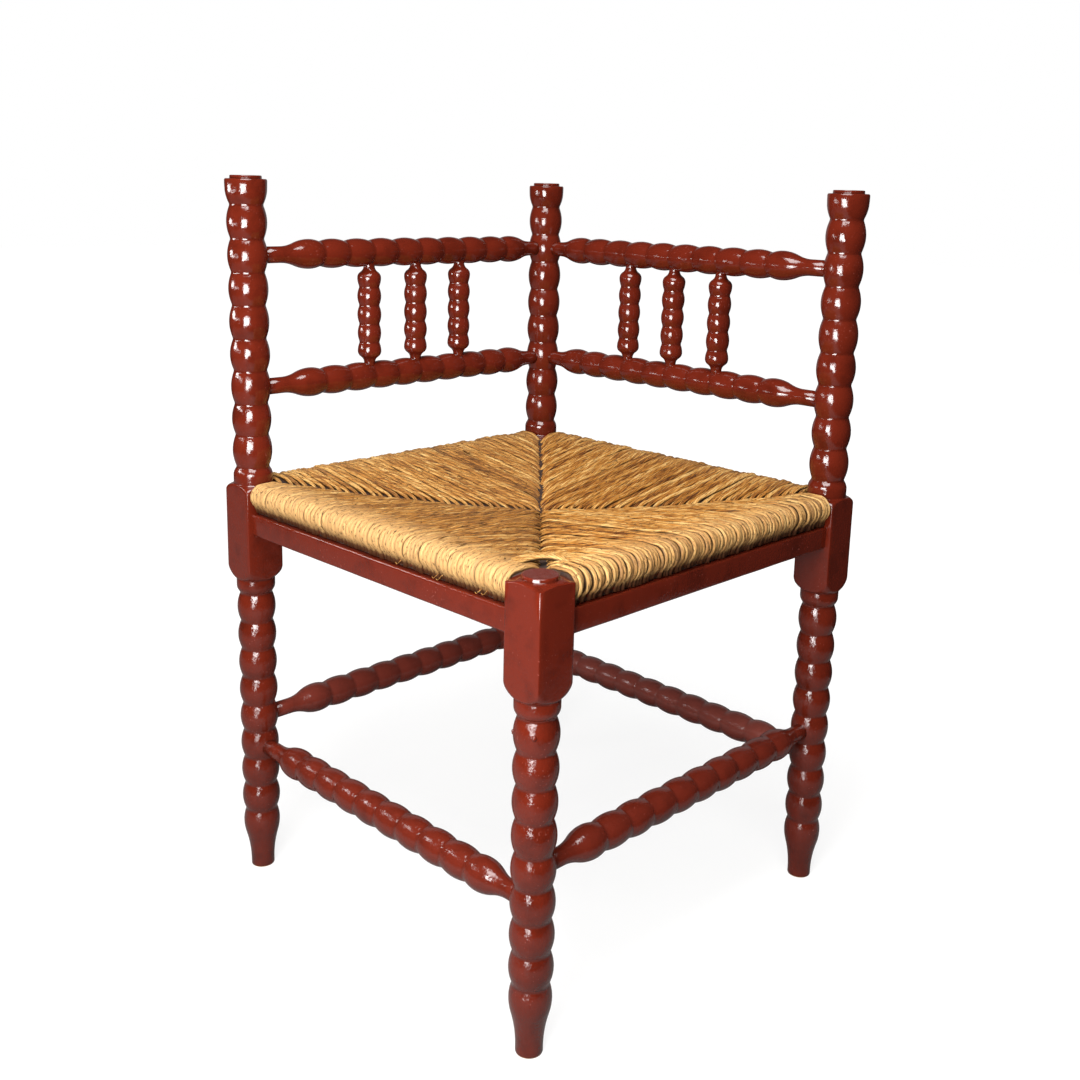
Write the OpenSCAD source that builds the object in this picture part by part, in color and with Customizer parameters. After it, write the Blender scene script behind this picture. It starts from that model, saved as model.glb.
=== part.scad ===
// Bobbin-turned corner chair with a rush seat.
// The seat is a square that is sat on corner first: one short post stands in front
// and three tall posts carry a back that runs along the two rear sides.
// Millimetres. +Z is up, the floor is z = 0 and the origin is the middle of the plan.
// The sides of the seat run along X and Y, and the front corner points to -X -Y.

/* [Plan] */
// Distance between neighbouring post centre lines, the same on all four sides
post_spacing = 432; // [410:1:455]

/* [Turned legs] */
// Height of the tapered foot, from the floor to the first neck
foot_h = 69.5; // [60:0.5:85]
// Length of one leg bead
leg_bead_l = 31.7; // [29:0.1:35]
// Number of beads on each leg
leg_beads = 8; // [6:1:10]
// Length of the collar between the leg beads and the seat block
leg_collar_l = 17; // [12:0.5:24]
// Fullest diameter of the bead that tops the foot
foot_bead_d = 39.2; // [37:0.1:41]
// Diameter of the foot where it meets the floor
foot_tip_d = 25.2; // [20:0.1:30]
// Distance from the foot's neck down to the fullest point of its bead
foot_rise = 14.5; // [10:0.5:20]

/* [Turned back posts] */
// Length of one bead above the seat
back_bead_l = 33.9; // [31:0.1:37]
// Number of beads above the seat
back_beads = 8; // [7:1:10]
// Length of the collar between the seat block and the back beads
back_collar_l = 18.4; // [14:0.5:26]
// Length of the cap above the last neck
cap_l = 26; // [20:0.5:34]
// Length over which the cap swells from the neck before it runs straight
cap_swell_l = 17; // [12:0.5:18]
// Diameter of the cap at its rim
cap_d = 42.6; // [40.5:0.1:44]
// Height of the lathe stub left on the top of a post
stub_h = 3.6; // [2:0.1:6]
// Diameter of the lathe stub
stub_d = 32; // [24:0.5:34]

/* [Post thickness] */
// Fullest diameter of the post beads
post_bead_d = 40.6; // [39:0.1:42]
// Diameter of the post at a neck between beads
post_neck_d = 34.8; // [32:0.1:37]
// Side of the square seat block
block_side = 42.6; // [42:0.1:46]
// Height of the seat block between the two collars
block_h = 104; // [98:1:120]
// Height of the curved slope from the round leg out to the square block
low_tongue_h = 13; // [9:0.5:18]
// Height of the slope from the square block in to the round back post
high_tongue_h = 7.5; // [5:0.5:10]
// Height of the low slope on top of the short front post
front_slope_h = 3.6; // [2.5:0.1:5]
// Radius of the curved slope below the block
low_tongue_r = 22; // [16:1:40]
// Radius of the curved slope above the block of a tall post
high_tongue_r = 12; // [10:1:40]

// Thickness of the paint that fills the bottom of each neck
neck_fill = 0.25; // [0.1:0.05:0.5]

/* [Rails and stretchers] */
// Fullest diameter of the back rail beads
rail_bead_d = 31.5; // [29:0.1:33]
// Diameter of a back rail at a neck
rail_neck_d = 26.6; // [24:0.1:28]
// Fullest diameter of the stretcher beads
stretcher_bead_d = 32.6; // [30:0.1:34]
// Diameter of a stretcher at a neck
stretcher_neck_d = 28; // [25:0.1:29]
// Number of beads between the two bottle-shaped ends
rail_beads = 8; // [6:2:8]
// Length of a bottle-shaped end, from its neck to the post
bottle_l = 62.8; // [56:0.2:68]
// Distance from that neck to the fullest point of the bottle
bottle_rise = 13.8; // [10:0.2:18]
// Plain stretch of a bottle-shaped end beside the post
bottle_plain_l = 13; // [8:0.5:18]
// Diameter of the plain ends that enter the posts
rail_end_d = 17.4; // [14:0.1:18.4]
// Depth of a back rail's end in its post
rail_tenon_l = 10; // [7:0.5:10.5]
// Depth of a stretcher's end in its leg
stretcher_tenon_l = 15; // [10:0.5:17]
// Leg bead, counted up from the foot, that the lower pair of stretchers enters
low_stretcher_bead = 3; // [1:1:3]
// Leg bead, counted up from the foot, that the higher pair of stretchers enters
high_stretcher_bead = 4; // [4:1:6]
// Back bead, counted up from the seat, that the lower rails enter
low_rail_bead = 3; // [2:1:3]
// Back bead, counted down from the cap, that the top rails enter
top_rail_bead = 2; // [1:1:2]
// Distance that stretchers and lower rails sit below the middle of their bead
low_bar_drop = 2; // [0:0.5:4]
// Distance that the beads of a back rail and its spindles lie nearer to the back post
back_rail_shift = 5; // [0:0.5:8]
// Distance that the beads of three stretchers lie off the middle of their side
stretcher_shift = 5.5; // [0:0.5:8]

/* [Spindles] */
// Fullest diameter of the spindle beads
spindle_bead_d = 26.4; // [22:0.1:28]
// Diameter of a spindle at a neck
spindle_neck_d = 22.6; // [18:0.1:24]
// Number of beads on a spindle
spindle_beads = 5; // [4:1:6]
// Length of the taper at each end of a spindle
spindle_taper_l = 14.5; // [12:0.5:18]
// Diameter of the plain ends that enter the rails
spindle_end_d = 12.4; // [10:0.1:13]
// Depth of a spindle's end in its rail
spindle_tenon_l = 9; // [5:0.5:10]
// Rail beads between one spindle and the next
spindle_step_beads = 2; // [1:1:2]

/* [Seat frame] */
// Height of a seat rail's section
seat_rail_h = 20; // [16:1:22]
// Width of a seat rail's section
seat_rail_w = 23; // [18:1:26]
// Distance from the top of the seat block down to the middle of the seat rails
seat_rail_drop = 14; // [14:0.5:20]
// Height of a seat rail's tenon
seat_tenon_h = 14; // [10:1:15]
// Width of a seat rail's tenon
seat_tenon_w = 11; // [8:1:12]
// Depth of a seat rail's tenon in its block
seat_tenon_l = 12; // [8:0.5:13]
// Height of an apron board
apron_h = 23; // [18:1:28]
// Thickness of an apron board
apron_t = 10; // [8:0.5:12]
// Distance that an apron's face lies behind the face of the seat block
apron_setback = 5.4; // [3:0.2:8]
// Height of an apron's tenon
apron_tenon_h = 15; // [10:1:17]
// Thickness of an apron's tenon
apron_tenon_t = 6; // [4:0.5:7]
// Depth of an apron's tenon in its block
apron_tenon_l = 9; // [6:0.5:10]

/* [Rush seat] */
// Thickness of the rush over the top of a seat rail
rush_over = 8; // [6:0.5:12]
// Thickness of the rush under a seat rail
rush_under = 4; // [3:0.5:6]
// Thickness of the rush outside a seat rail
rush_out = 8; // [6.5:0.5:9]
// Depth that the middle of the seat has sunk below its crest
seat_sag = 26; // [10:1:34]
// Thickness of the seat in its middle, where the four sections meet
seat_middle_t = 20; // [18:1:26]
// Depth of the crease where two sections meet
seam_depth = 2.5; // [0:0.5:4]
// Width of that crease, from its bottom to one side
seam_w = 14; // [8:1:24]
// Thickness of the rush skin over the straw padding
rush_skin = 5; // [4:0.5:6]
// Distance that a straw pad stays from the creases on either side
pad_seam_margin = 20; // [14:1:30]

/* [Fits] */
// Clearance on each side of a tenon in its mortise
fit_gap = 0.15; // [0.1:0.05:0.3]
// Clearance between the rush and the wood or padding that it wraps
rush_gap = 0.3; // [0.2:0.05:0.5]

/* [Hidden] */
$fn = 96;

paint = "#7d2b22";
rush_colour = "#c9a05c";
straw_colour = "#d8bb7a";

// Heights along a post
leg_top_z = foot_h + leg_beads * leg_bead_l;
block_low_z = leg_top_z + leg_collar_l;
block_top_z = block_low_z + block_h;
back_low_z = block_top_z + back_collar_l;
back_top_z = back_low_z + back_beads * back_bead_l;
cap_top_z = back_top_z + cap_l;

// Heights of what enters the posts, each near the middle of its bead
low_stretcher_z = foot_h + (low_stretcher_bead - 0.5) * leg_bead_l - low_bar_drop;
high_stretcher_z = foot_h + (high_stretcher_bead - 0.5) * leg_bead_l - low_bar_drop;
lower_rail_z = back_low_z + (low_rail_bead - 0.5) * back_bead_l - low_bar_drop;
top_rail_z = back_top_z - (top_rail_bead - 0.5) * back_bead_l;
seat_rail_z = block_top_z - seat_rail_drop;

// The turned parts of a post run this far into its block, so that they join it
block_overlap = 2;

// The four post axes stand half the spacing from the middle
half_plan = post_spacing / 2;
side_l = post_spacing - block_side;
rail_bead_l = (post_spacing - post_bead_d - 2 * bottle_l) / rail_beads;

// The spindle fills the gap between the necks of its two rails
spindle_gap = top_rail_z - lower_rail_z;
spindle_mid_z = (top_rail_z + lower_rail_z) / 2;
spindle_bead_l = (spindle_gap - rail_neck_d - 2 * spindle_taper_l) / (spindle_beads - 1);
spindle_pitch = spindle_step_beads * rail_bead_l;
spindle_plain_l = 1.5;

// Heights of the rush seat
rush_crest_z = seat_rail_z + seat_rail_h / 2 + rush_over;
rush_floor_z = seat_rail_z - seat_rail_h / 2 - rush_under;
seat_middle_z = rush_crest_z - seat_sag;
seat_floor_z = seat_middle_z - seat_middle_t;
rush_edge = half_plan + seat_rail_w / 2 + rush_out;
apron_top_z = rush_floor_z - rush_gap;

// Turned profiles: X is the radius and Y runs along the lathe

// Radius of the arc that swells by rise over half a chord
function bead_arc(half_l, rise) = (half_l * half_l + rise * rise) / (2 * rise);

// Centre of the arc of radius arc_r that bulges out between two points
function arc_centre(p, q, arc_r) =
    let (
        d = q - p,
        chord = norm(d),
        back_off = sqrt(arc_r * arc_r - chord * chord / 4)
    )
    (p + q) / 2 - back_off * [d.y, -d.x] / chord;

// One bead: a single arc from neck to neck
module bead(bead_d, neck_d, length) {
    arc_r = bead_arc(length / 2, (bead_d - neck_d) / 2);
    intersection() {
        translate([bead_d / 2 - arc_r, length / 2]) circle(arc_r);
        square([bead_d / 2, length]);
    }
}

// A row of equal beads. Paint leaves a narrow flat in the bottom of each neck, also in the
// two at the ends of the row.
module bead_row(bead_d, neck_d, length, count) {
    overlap = 2;
    for (i = [0:count - 1]) {
        translate([0, i * length]) bead(bead_d, neck_d, length);
    }
    translate([0, -overlap]) square([neck_d / 2 + neck_fill, count * length + 2 * overlap]);
}

// Half a bead that grows from a neck to its fullest point
module half_bead(bead_d, neck_d, length) {
    arc_r = bead_arc(length, (bead_d - neck_d) / 2);
    intersection() {
        translate([bead_d / 2 - arc_r, length]) circle(arc_r);
        square([bead_d / 2, length]);
    }
}

// An end that swells from a neck and then falls in an S curve to a plain end.
// early is the share of the S that still bulges before it turns hollow.
module ogee_end(bead_d, neck_d, end_d, rise_l, run_l, plain_l, early) {
    drop = (bead_d - end_d) / 2;
    arcs_r = (run_l * run_l + drop * drop) / (2 * drop);
    bulge_r = early * arcs_r;
    hollow_r = arcs_r - bulge_r;
    turn_l = early * run_l;
    half_bead(bead_d, neck_d, rise_l);
    intersection() {
        translate([bead_d / 2 - bulge_r, rise_l]) circle(bulge_r);
        translate([0, rise_l]) square([bead_d / 2, turn_l]);
    }
    translate([0, rise_l]) square([bead_d / 2 - early * drop, turn_l]);
    translate([0, rise_l + turn_l]) difference() {
        square([end_d / 2 + hollow_r, run_l - turn_l]);
        translate([end_d / 2 + hollow_r, run_l - turn_l]) circle(hollow_r);
    }
    translate([0, rise_l + run_l]) square([end_d / 2, plain_l]);
}

// A flank between two heights whose outer side bulges on an arc
module arc_flank(low_r, low_z, high_r, high_z, arc_r) {
    centre = arc_centre([low_r, low_z], [high_r, high_z], arc_r);
    intersection() {
        translate([0, low_z]) square([max(low_r, high_r), high_z - low_z]);
        union() {
            translate(centre) circle(arc_r);
            polygon([[0, low_z], [low_r, low_z], [high_r, high_z], [0, high_z]]);
        }
    }
}

// Leg from the floor to the seat block: foot, beads and collar
module leg_profile() {
    plain_l = 5;
    bulge_share = 0.28;
    run_l = foot_h - foot_rise - plain_l;
    translate([0, foot_h]) mirror([0, 1])
        ogee_end(foot_bead_d, post_neck_d, foot_tip_d, foot_rise, run_l, plain_l, bulge_share);
    translate([0, foot_h]) bead_row(post_bead_d, post_neck_d, leg_bead_l, leg_beads);
    translate([0, leg_top_z]) half_bead(post_bead_d, post_neck_d, leg_collar_l / 2);
    translate([0, leg_top_z + leg_collar_l / 2])
        square([post_bead_d / 2, leg_collar_l / 2 + block_overlap]);
}

// Back post from the seat block to the cap and its lathe stub
module back_profile() {
    rim_round = 1.2;
    translate([0, block_top_z - block_overlap])
        square([post_bead_d / 2, back_collar_l / 2 + block_overlap]);
    translate([0, back_low_z]) mirror([0, 1])
        half_bead(post_bead_d, post_neck_d, back_collar_l / 2);
    translate([0, back_low_z]) bead_row(post_bead_d, post_neck_d, back_bead_l, back_beads);
    translate([0, back_top_z]) half_bead(cap_d, post_neck_d, cap_swell_l);
    translate([0, back_top_z + cap_swell_l]) polygon([
        [0, 0], [cap_d / 2, 0], [cap_d / 2, cap_l - cap_swell_l - rim_round],
        [cap_d / 2 - rim_round, cap_l - cap_swell_l], [0, cap_l - cap_swell_l]
    ]);
    translate([0, cap_top_z]) square([stub_d / 2, stub_h]);
}

// Outline that the lathe leaves below the top slope of a square block. It reaches out to
// the corners of the block, so the sides stay flat between the slopes.
corner_r = block_side / sqrt(2);

module block_profile(slope_h) {
    square_low_z = block_low_z + low_tongue_h;
    arc_flank(post_bead_d / 2, block_low_z, corner_r, square_low_z, low_tongue_r);
    translate([0, square_low_z]) square([corner_r, block_top_z - slope_h - square_low_z]);
}

// The block is square stock turned down to round at both ends.
// The child is the outline of the slope on its top.
module seat_block(slope_h) {
    intersection() {
        rotate_extrude() union() {
            block_profile(slope_h);
            children();
        }
        translate([-block_side / 2, -block_side / 2, block_low_z])
            cube([block_side, block_side, block_h]);
    }
}

// Holes in a post for everything that enters along one direction of the plan.
// Each hole is cut along +X and then turned to its side.
module round_mortise(z, hole_d, depth) {
    reach = post_bead_d;
    translate([post_bead_d / 2 - depth - fit_gap, 0, z]) rotate([0, 90, 0])
        cylinder(d = hole_d + 2 * fit_gap, h = reach);
}

module slot_mortise(z, w, h, depth, y) {
    translate([block_side / 2 - depth - fit_gap, y - w / 2 - fit_gap, z - h / 2 - fit_gap])
        cube([block_side, w + 2 * fit_gap, h + 2 * fit_gap]);
}

// out is +1 or -1 and says on which side of the cut the outer face lies
module side_mortises(stretcher_z, has_rails, out) {
    round_mortise(stretcher_z, rail_end_d, stretcher_tenon_l);
    slot_mortise(seat_rail_z, seat_tenon_w, seat_tenon_h, seat_tenon_l, 0);
    apron_y = out * (block_side / 2 - apron_setback - apron_t / 2);
    slot_mortise(apron_top_z - apron_h / 2, apron_tenon_t, apron_tenon_h, apron_tenon_l, apron_y);
    if (has_rails) {
        round_mortise(lower_rail_z, rail_end_d, rail_tenon_l);
        round_mortise(top_rail_z, rail_end_d, rail_tenon_l);
    }
}

// Short post under the front corner, with a lathe stub on top of its block
module front_post() {
    shoulder = 1;
    color(paint) translate([-half_plan, -half_plan, 0]) difference() {
        union() {
            rotate_extrude() leg_profile();
            seat_block(front_slope_h) translate([0, block_top_z]) polygon([
                [0, -front_slope_h], [corner_r, -front_slope_h],
                [stub_d / 2 + shoulder, 0], [0, 0]
            ]);
            translate([0, 0, block_top_z - block_overlap])
                cylinder(d = stub_d, h = stub_h + block_overlap);
        }
        side_mortises(high_stretcher_z, false, -1);
        rotate([0, 0, 90]) side_mortises(low_stretcher_z, false, 1);
    }
}

module tall_post() {
    rotate_extrude() leg_profile();
    seat_block(high_tongue_h)
        arc_flank(corner_r, block_top_z - high_tongue_h, post_bead_d / 2, block_top_z,
            high_tongue_r);
    rotate_extrude() back_profile();
}

module left_post() {
    color(paint) translate([-half_plan, half_plan, 0]) difference() {
        tall_post();
        side_mortises(high_stretcher_z, true, 1);
        rotate([0, 0, -90]) side_mortises(low_stretcher_z, false, -1);
    }
}

module right_post() {
    color(paint) translate([half_plan, -half_plan, 0]) difference() {
        tall_post();
        rotate([0, 0, 180]) side_mortises(high_stretcher_z, false, 1);
        rotate([0, 0, 90]) side_mortises(low_stretcher_z, true, -1);
    }
}

module back_post() {
    color(paint) translate([half_plan, half_plan, 0]) difference() {
        tall_post();
        rotate([0, 0, 180]) side_mortises(high_stretcher_z, true, -1);
        rotate([0, 0, -90]) side_mortises(low_stretcher_z, true, 1);
    }
}

// A beaded bar with bottle-shaped ends, centred on the origin and lying along X.
// Its beads are moved along it by shift, and its plain ends make up for that.
module beaded_bar(bead_d, neck_d, tenon_l, shift) {
    mid_l = rail_beads * rail_bead_l;
    run_l = bottle_l - bottle_rise - bottle_plain_l;
    rotate([0, 90, 0]) rotate_extrude() translate([0, shift]) {
        translate([0, -mid_l / 2]) bead_row(bead_d, neck_d, rail_bead_l, rail_beads);
        for (end = [0, 1]) {
            plain_l = bottle_plain_l + tenon_l + (end == 0 ? -shift : shift);
            mirror([0, end]) translate([0, mid_l / 2])
                ogee_end(bead_d, neck_d, rail_end_d, bottle_rise, run_l, plain_l, 0.5);
        }
    }
}

// Positions of the spindles along a rail
function spindle_at(i) = (i - 2) * spindle_pitch + back_rail_shift;

// A back rail with its three holes on the side that faces the other rail
module back_rail(face) {
    hole_low = rail_neck_d / 2 - spindle_tenon_l - fit_gap;
    color(paint) difference() {
        beaded_bar(rail_bead_d, rail_neck_d, rail_tenon_l, back_rail_shift);
        for (i = [1:3]) {
            translate([spindle_at(i), 0, 0]) rotate([face > 0 ? 0 : 180, 0, 0])
                translate([0, 0, hole_low])
                    cylinder(d = spindle_end_d + 2 * fit_gap, h = rail_bead_d);
        }
    }
}

// Places a bar on one side of the plan.
// left_back runs along X behind, right_back along Y on the +X side.
module on_back_left(z) {
    translate([0, half_plan, z]) children();
}

module on_back_right(z) {
    translate([half_plan, 0, z]) rotate([0, 0, 90]) children();
}

module on_front_left(z) {
    translate([-half_plan, 0, z]) rotate([0, 0, 90]) children();
}

module on_front_right(z) {
    translate([0, -half_plan, z]) children();
}

module left_top_rail() {
    on_back_left(top_rail_z) back_rail(-1);
}

module right_top_rail() {
    on_back_right(top_rail_z) back_rail(-1);
}

module left_lower_rail() {
    on_back_left(lower_rail_z) back_rail(1);
}

module right_lower_rail() {
    on_back_right(lower_rail_z) back_rail(1);
}

module stretcher(shift) {
    color(paint) beaded_bar(stretcher_bead_d, stretcher_neck_d, stretcher_tenon_l, shift);
}

module front_left_stretcher() {
    on_front_left(low_stretcher_z) stretcher(-stretcher_shift);
}

module front_right_stretcher() {
    on_front_right(high_stretcher_z) stretcher(0);
}

module back_left_stretcher() {
    on_back_left(high_stretcher_z) stretcher(stretcher_shift);
}

module back_right_stretcher() {
    on_back_right(low_stretcher_z) stretcher(-stretcher_shift);
}

// A spindle stands upright and is centred between its two rails
module spindle(i) {
    inner_l = (spindle_beads - 2) * spindle_bead_l;
    rise_l = spindle_bead_l / 2;
    run_l = spindle_taper_l - spindle_plain_l;
    color(paint) translate([spindle_at(i), 0, 0]) rotate_extrude() union() {
        translate([0, -inner_l / 2])
            bead_row(spindle_bead_d, spindle_neck_d, spindle_bead_l, spindle_beads - 2);
        for (end = [0, 1]) {
            mirror([0, end]) translate([0, inner_l / 2])
                ogee_end(spindle_bead_d, spindle_neck_d, spindle_end_d, rise_l, run_l,
                    spindle_plain_l + spindle_tenon_l, 0.5);
        }
    }
}

module left_spindle(i) {
    on_back_left(spindle_mid_z) spindle(i);
}

module right_spindle(i) {
    on_back_right(spindle_mid_z) spindle(i);
}

// Seat rails are plain bars hidden in the rush, with a tenon at each end
module seat_rail() {
    color(paint) union() {
        cube([side_l, seat_rail_w, seat_rail_h], center = true);
        cube([side_l + 2 * seat_tenon_l, seat_tenon_w, seat_tenon_h], center = true);
    }
}

module front_left_seat_rail() {
    on_front_left(seat_rail_z) seat_rail();
}

module front_right_seat_rail() {
    on_front_right(seat_rail_z) seat_rail();
}

module back_left_seat_rail() {
    on_back_left(seat_rail_z) seat_rail();
}

module back_right_seat_rail() {
    on_back_right(seat_rail_z) seat_rail();
}

// Apron boards stand on edge under the rush, a little behind the faces of the blocks.
// out is +1 or -1 and says towards which side of the bar the outer face lies.
module apron(out) {
    shift = out * (block_side / 2 - apron_setback - apron_t / 2);
    color(paint) translate([0, shift, 0]) union() {
        cube([side_l, apron_t, apron_h], center = true);
        cube([side_l + 2 * apron_tenon_l, apron_tenon_t, apron_tenon_h], center = true);
    }
}

module front_left_apron() {
    on_front_left(apron_top_z - apron_h / 2) apron(1);
}

module front_right_apron() {
    on_front_right(apron_top_z - apron_h / 2) apron(-1);
}

module back_left_apron() {
    on_back_left(apron_top_z - apron_h / 2) apron(1);
}

module back_right_apron() {
    on_back_right(apron_top_z - apron_h / 2) apron(-1);
}

// The rush seat is one closed skin. Its rings run round the square plan, from the middle
// of the top, out over the roll on the seat rails and back under to the middle below.
side_steps = 12;
ring_steps = 4 * side_steps;
roll_r = (seat_rail_h / 2 + rush_over + rush_out) / 2;
roll_d = rush_edge - roll_r;
crest_inset = 14;
crest_d = roll_d - crest_inset;
tuck_d = half_plan + seat_rail_w / 2 + rush_under / 2;
tuck_rise = 3;

top_shares = [0.1, 0.22, 0.36, 0.5, 0.64, 0.78, 0.9, 1];
roll_angles = [90, 62, 34, 6, -22, -48];
floor_shares = [1, 0.72, 0.45, 0.2];

// Position of a station across one side, close together near the creases
function across(i) = sin(180 * (i % side_steps) / side_steps - 90);

// Share of the crease at a station, from 1 in its bottom to 0 outside it
function crease(dist, lateral) =
    let (away = dist * (1 - abs(lateral)) / sqrt(2))
    pow(max(0, 1 - away / seam_w), 2);

// Height of the top: a bowl that is fuller in the middle of each section than at its creases
function top_z(dist, lateral) =
    let (
        share = min(1, dist / crest_d),
        fullness = 1.15 + 0.55 * pow(abs(lateral), 3)
    )
    seat_middle_z + seat_sag * pow(share, fullness) - seam_depth * crease(dist, lateral);

// Height of the underside, which is flatter
function floor_z(dist) =
    let (share = min(1, dist / (half_plan - seat_rail_w)))
    seat_floor_z + (rush_floor_z - seat_floor_z) * pow(share, 1.3);

// Distance and height of each ring at a station
function ring_points(lateral) = concat(
    [for (share = top_shares) [share * crest_d, top_z(share * crest_d, lateral)]],
    [for (a = roll_angles) [roll_d + roll_r * cos(a), rush_crest_z - roll_r + roll_r * sin(a)]],
    [[tuck_d, rush_crest_z - 2 * roll_r + tuck_rise], [tuck_d, rush_floor_z]],
    [for (share = floor_shares)
        let (dist = share * (half_plan - seat_rail_w))
        [dist, floor_z(dist)]]
);

// A point of a ring turned to its own side of the square
function on_side(side, dist, lateral, z) =
    side == 0 ? [dist, lateral * dist, z] :
    side == 1 ? [-lateral * dist, dist, z] :
    side == 2 ? [-dist, -lateral * dist, z] : [lateral * dist, -dist, z];

module rush_skin_solid() {
    rings = len(ring_points(0));
    points = concat(
        [for (i = [0:ring_steps - 1])
            let (lateral = across(i), side = floor(i / side_steps))
            for (p = ring_points(lateral)) on_side(side, p.x, lateral, p.y)],
        [[0, 0, seat_middle_z - seam_depth], [0, 0, seat_floor_z]]
    );
    top_point = ring_steps * rings;
    floor_point = top_point + 1;
    faces = concat(
        [for (i = [0:ring_steps - 1])
            let (a = i * rings, b = ((i + 1) % ring_steps) * rings)
            for (f = concat(
                [[top_point, b, a], [floor_point, a + rings - 1, b + rings - 1]],
                [for (j = [0:rings - 2]) [a + j, b + j, b + j + 1]],
                [for (j = [0:rings - 2]) [a + j, b + j + 1, a + j + 1]]
            )) f]
    );
    polyhedron(points = points, faces = faces, convexity = 6);
}

// Straw padding fills the pocket in each section, between the skins
pad_low_d = 50;
pad_rail_margin = 12;
pad_high_d = half_plan - seat_rail_w / 2 - pad_rail_margin;

module straw_pad(grow) {
    low_top = top_z(pad_low_d, 1) - rush_skin + grow;
    high_top = top_z(pad_high_d, 1) - rush_skin + grow;
    low_floor = floor_z(pad_low_d) + rush_skin - grow;
    high_floor = floor_z(pad_high_d) + rush_skin - grow;
    low_d = pad_low_d - grow;
    high_d = pad_high_d + grow;
    margin = pad_seam_margin - 2 * grow;
    intersection() {
        rotate([90, 0, 0]) linear_extrude(post_spacing, center = true) polygon([
            [low_d, low_floor], [high_d, high_floor], [high_d, high_top], [low_d, low_top]
        ]);
        translate([0, 0, seat_floor_z]) linear_extrude(rush_crest_z - seat_floor_z) polygon([
            [low_d, margin - low_d], [high_d, margin - high_d],
            [high_d, high_d - margin], [low_d, low_d - margin]
        ]);
    }
}

module seat_padding() {
    color(straw_colour) for (side = [0:3]) {
        rotate([0, 0, 90 * side]) straw_pad(0);
    }
}

module rush_seat() {
    notch = block_side + 2 * rush_gap;
    color(rush_colour) difference() {
        rush_skin_solid();
        for (side = [0:3]) {
            rotate([0, 0, 90 * side]) {
                straw_pad(rush_gap);
                translate([half_plan, 0, seat_rail_z])
                    cube([seat_rail_w + 2 * rush_gap, post_spacing,
                        seat_rail_h + 2 * rush_gap], center = true);
                translate([half_plan, half_plan, seat_rail_z])
                    cube([notch, notch, 4 * seat_rail_h], center = true);
            }
        }
    }
}

front_post();
left_post();
right_post();
back_post();
left_top_rail();
right_top_rail();
left_lower_rail();
right_lower_rail();
left_spindle(1);  // left_spindle_1
left_spindle(2);  // left_spindle_2
left_spindle(3);  // left_spindle_3
right_spindle(1);  // right_spindle_1
right_spindle(2);  // right_spindle_2
right_spindle(3);  // right_spindle_3
front_left_stretcher();
front_right_stretcher();
back_left_stretcher();
back_right_stretcher();
front_left_seat_rail();
front_right_seat_rail();
back_left_seat_rail();
back_right_seat_rail();
front_left_apron();
front_right_apron();
back_left_apron();
back_right_apron();
rush_seat();
seat_padding();
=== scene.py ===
"""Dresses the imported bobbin-turned corner chair: painted turnings, wound rush and a studio."""

import collections
import functools
import math
import random

import bmesh
import bpy
from bpy.props import FloatProperty, FloatVectorProperty, IntProperty, PointerProperty, StringProperty
from mathutils import Matrix, Vector, noise


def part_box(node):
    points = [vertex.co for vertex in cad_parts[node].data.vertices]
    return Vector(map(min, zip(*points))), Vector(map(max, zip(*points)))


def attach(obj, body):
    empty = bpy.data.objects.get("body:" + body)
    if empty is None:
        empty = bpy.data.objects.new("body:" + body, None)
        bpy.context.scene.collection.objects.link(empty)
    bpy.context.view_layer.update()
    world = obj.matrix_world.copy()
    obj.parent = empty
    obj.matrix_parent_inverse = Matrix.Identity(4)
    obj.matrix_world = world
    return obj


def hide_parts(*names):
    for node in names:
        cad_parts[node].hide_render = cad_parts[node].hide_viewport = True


bl_info = {
    "name": "Bobbin Corner Chair",
    "version": (1, 0, 0),
    "blender": (4, 5, 0),
    "location": "View3D > Sidebar > Corner Chair",
    "description": "Turned and painted frame, wound rush seat and studio for a corner chair",
    "category": "Add Mesh",
}

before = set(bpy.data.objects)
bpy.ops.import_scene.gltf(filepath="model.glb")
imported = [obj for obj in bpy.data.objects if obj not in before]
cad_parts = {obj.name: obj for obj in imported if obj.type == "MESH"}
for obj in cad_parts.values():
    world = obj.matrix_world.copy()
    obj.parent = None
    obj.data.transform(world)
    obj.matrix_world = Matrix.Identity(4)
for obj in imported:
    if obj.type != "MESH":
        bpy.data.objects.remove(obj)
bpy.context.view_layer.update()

POSTS = ("front_post", "left_post", "right_post", "back_post")
SIDES = ("front_left", "front_right", "back_left", "back_right")
SPINDLES = tuple(f"{side}_spindle_{i}" for side in ("left", "right") for i in (1, 2, 3))
BACK_RAILS = ("left_top_rail", "right_top_rail", "left_lower_rail", "right_lower_rail")


def middle(node):
    """Middle of a CAD node's box."""
    low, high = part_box(node)
    return (low + high) / 2


def width(node):
    """Size of a CAD node's box along each axis."""
    low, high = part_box(node)
    return high - low


HALF_PLAN = middle("back_post").x

# First seed of the random draws in each group of pieces
SEEDS = {"posts": 11, "back_rails": 31, "stretchers": 51, "spindles": 71,
         "aprons": 5, "rush": 91}


# Sizes and colours that a user would change

def metres(name, description, default):
    """A length that a user can set, in metres."""
    return FloatProperty(name=name, description=description, default=default, unit="LENGTH")


def watts(name, description, default):
    """A light's power that a user can set, in watts."""
    return FloatProperty(name=name, description=description, default=default, subtype="POWER")


def hex_code(name, description, default):
    """A colour that a user can set, as an sRGB hex code."""
    return StringProperty(name=name, description=description, default=default)


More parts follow.
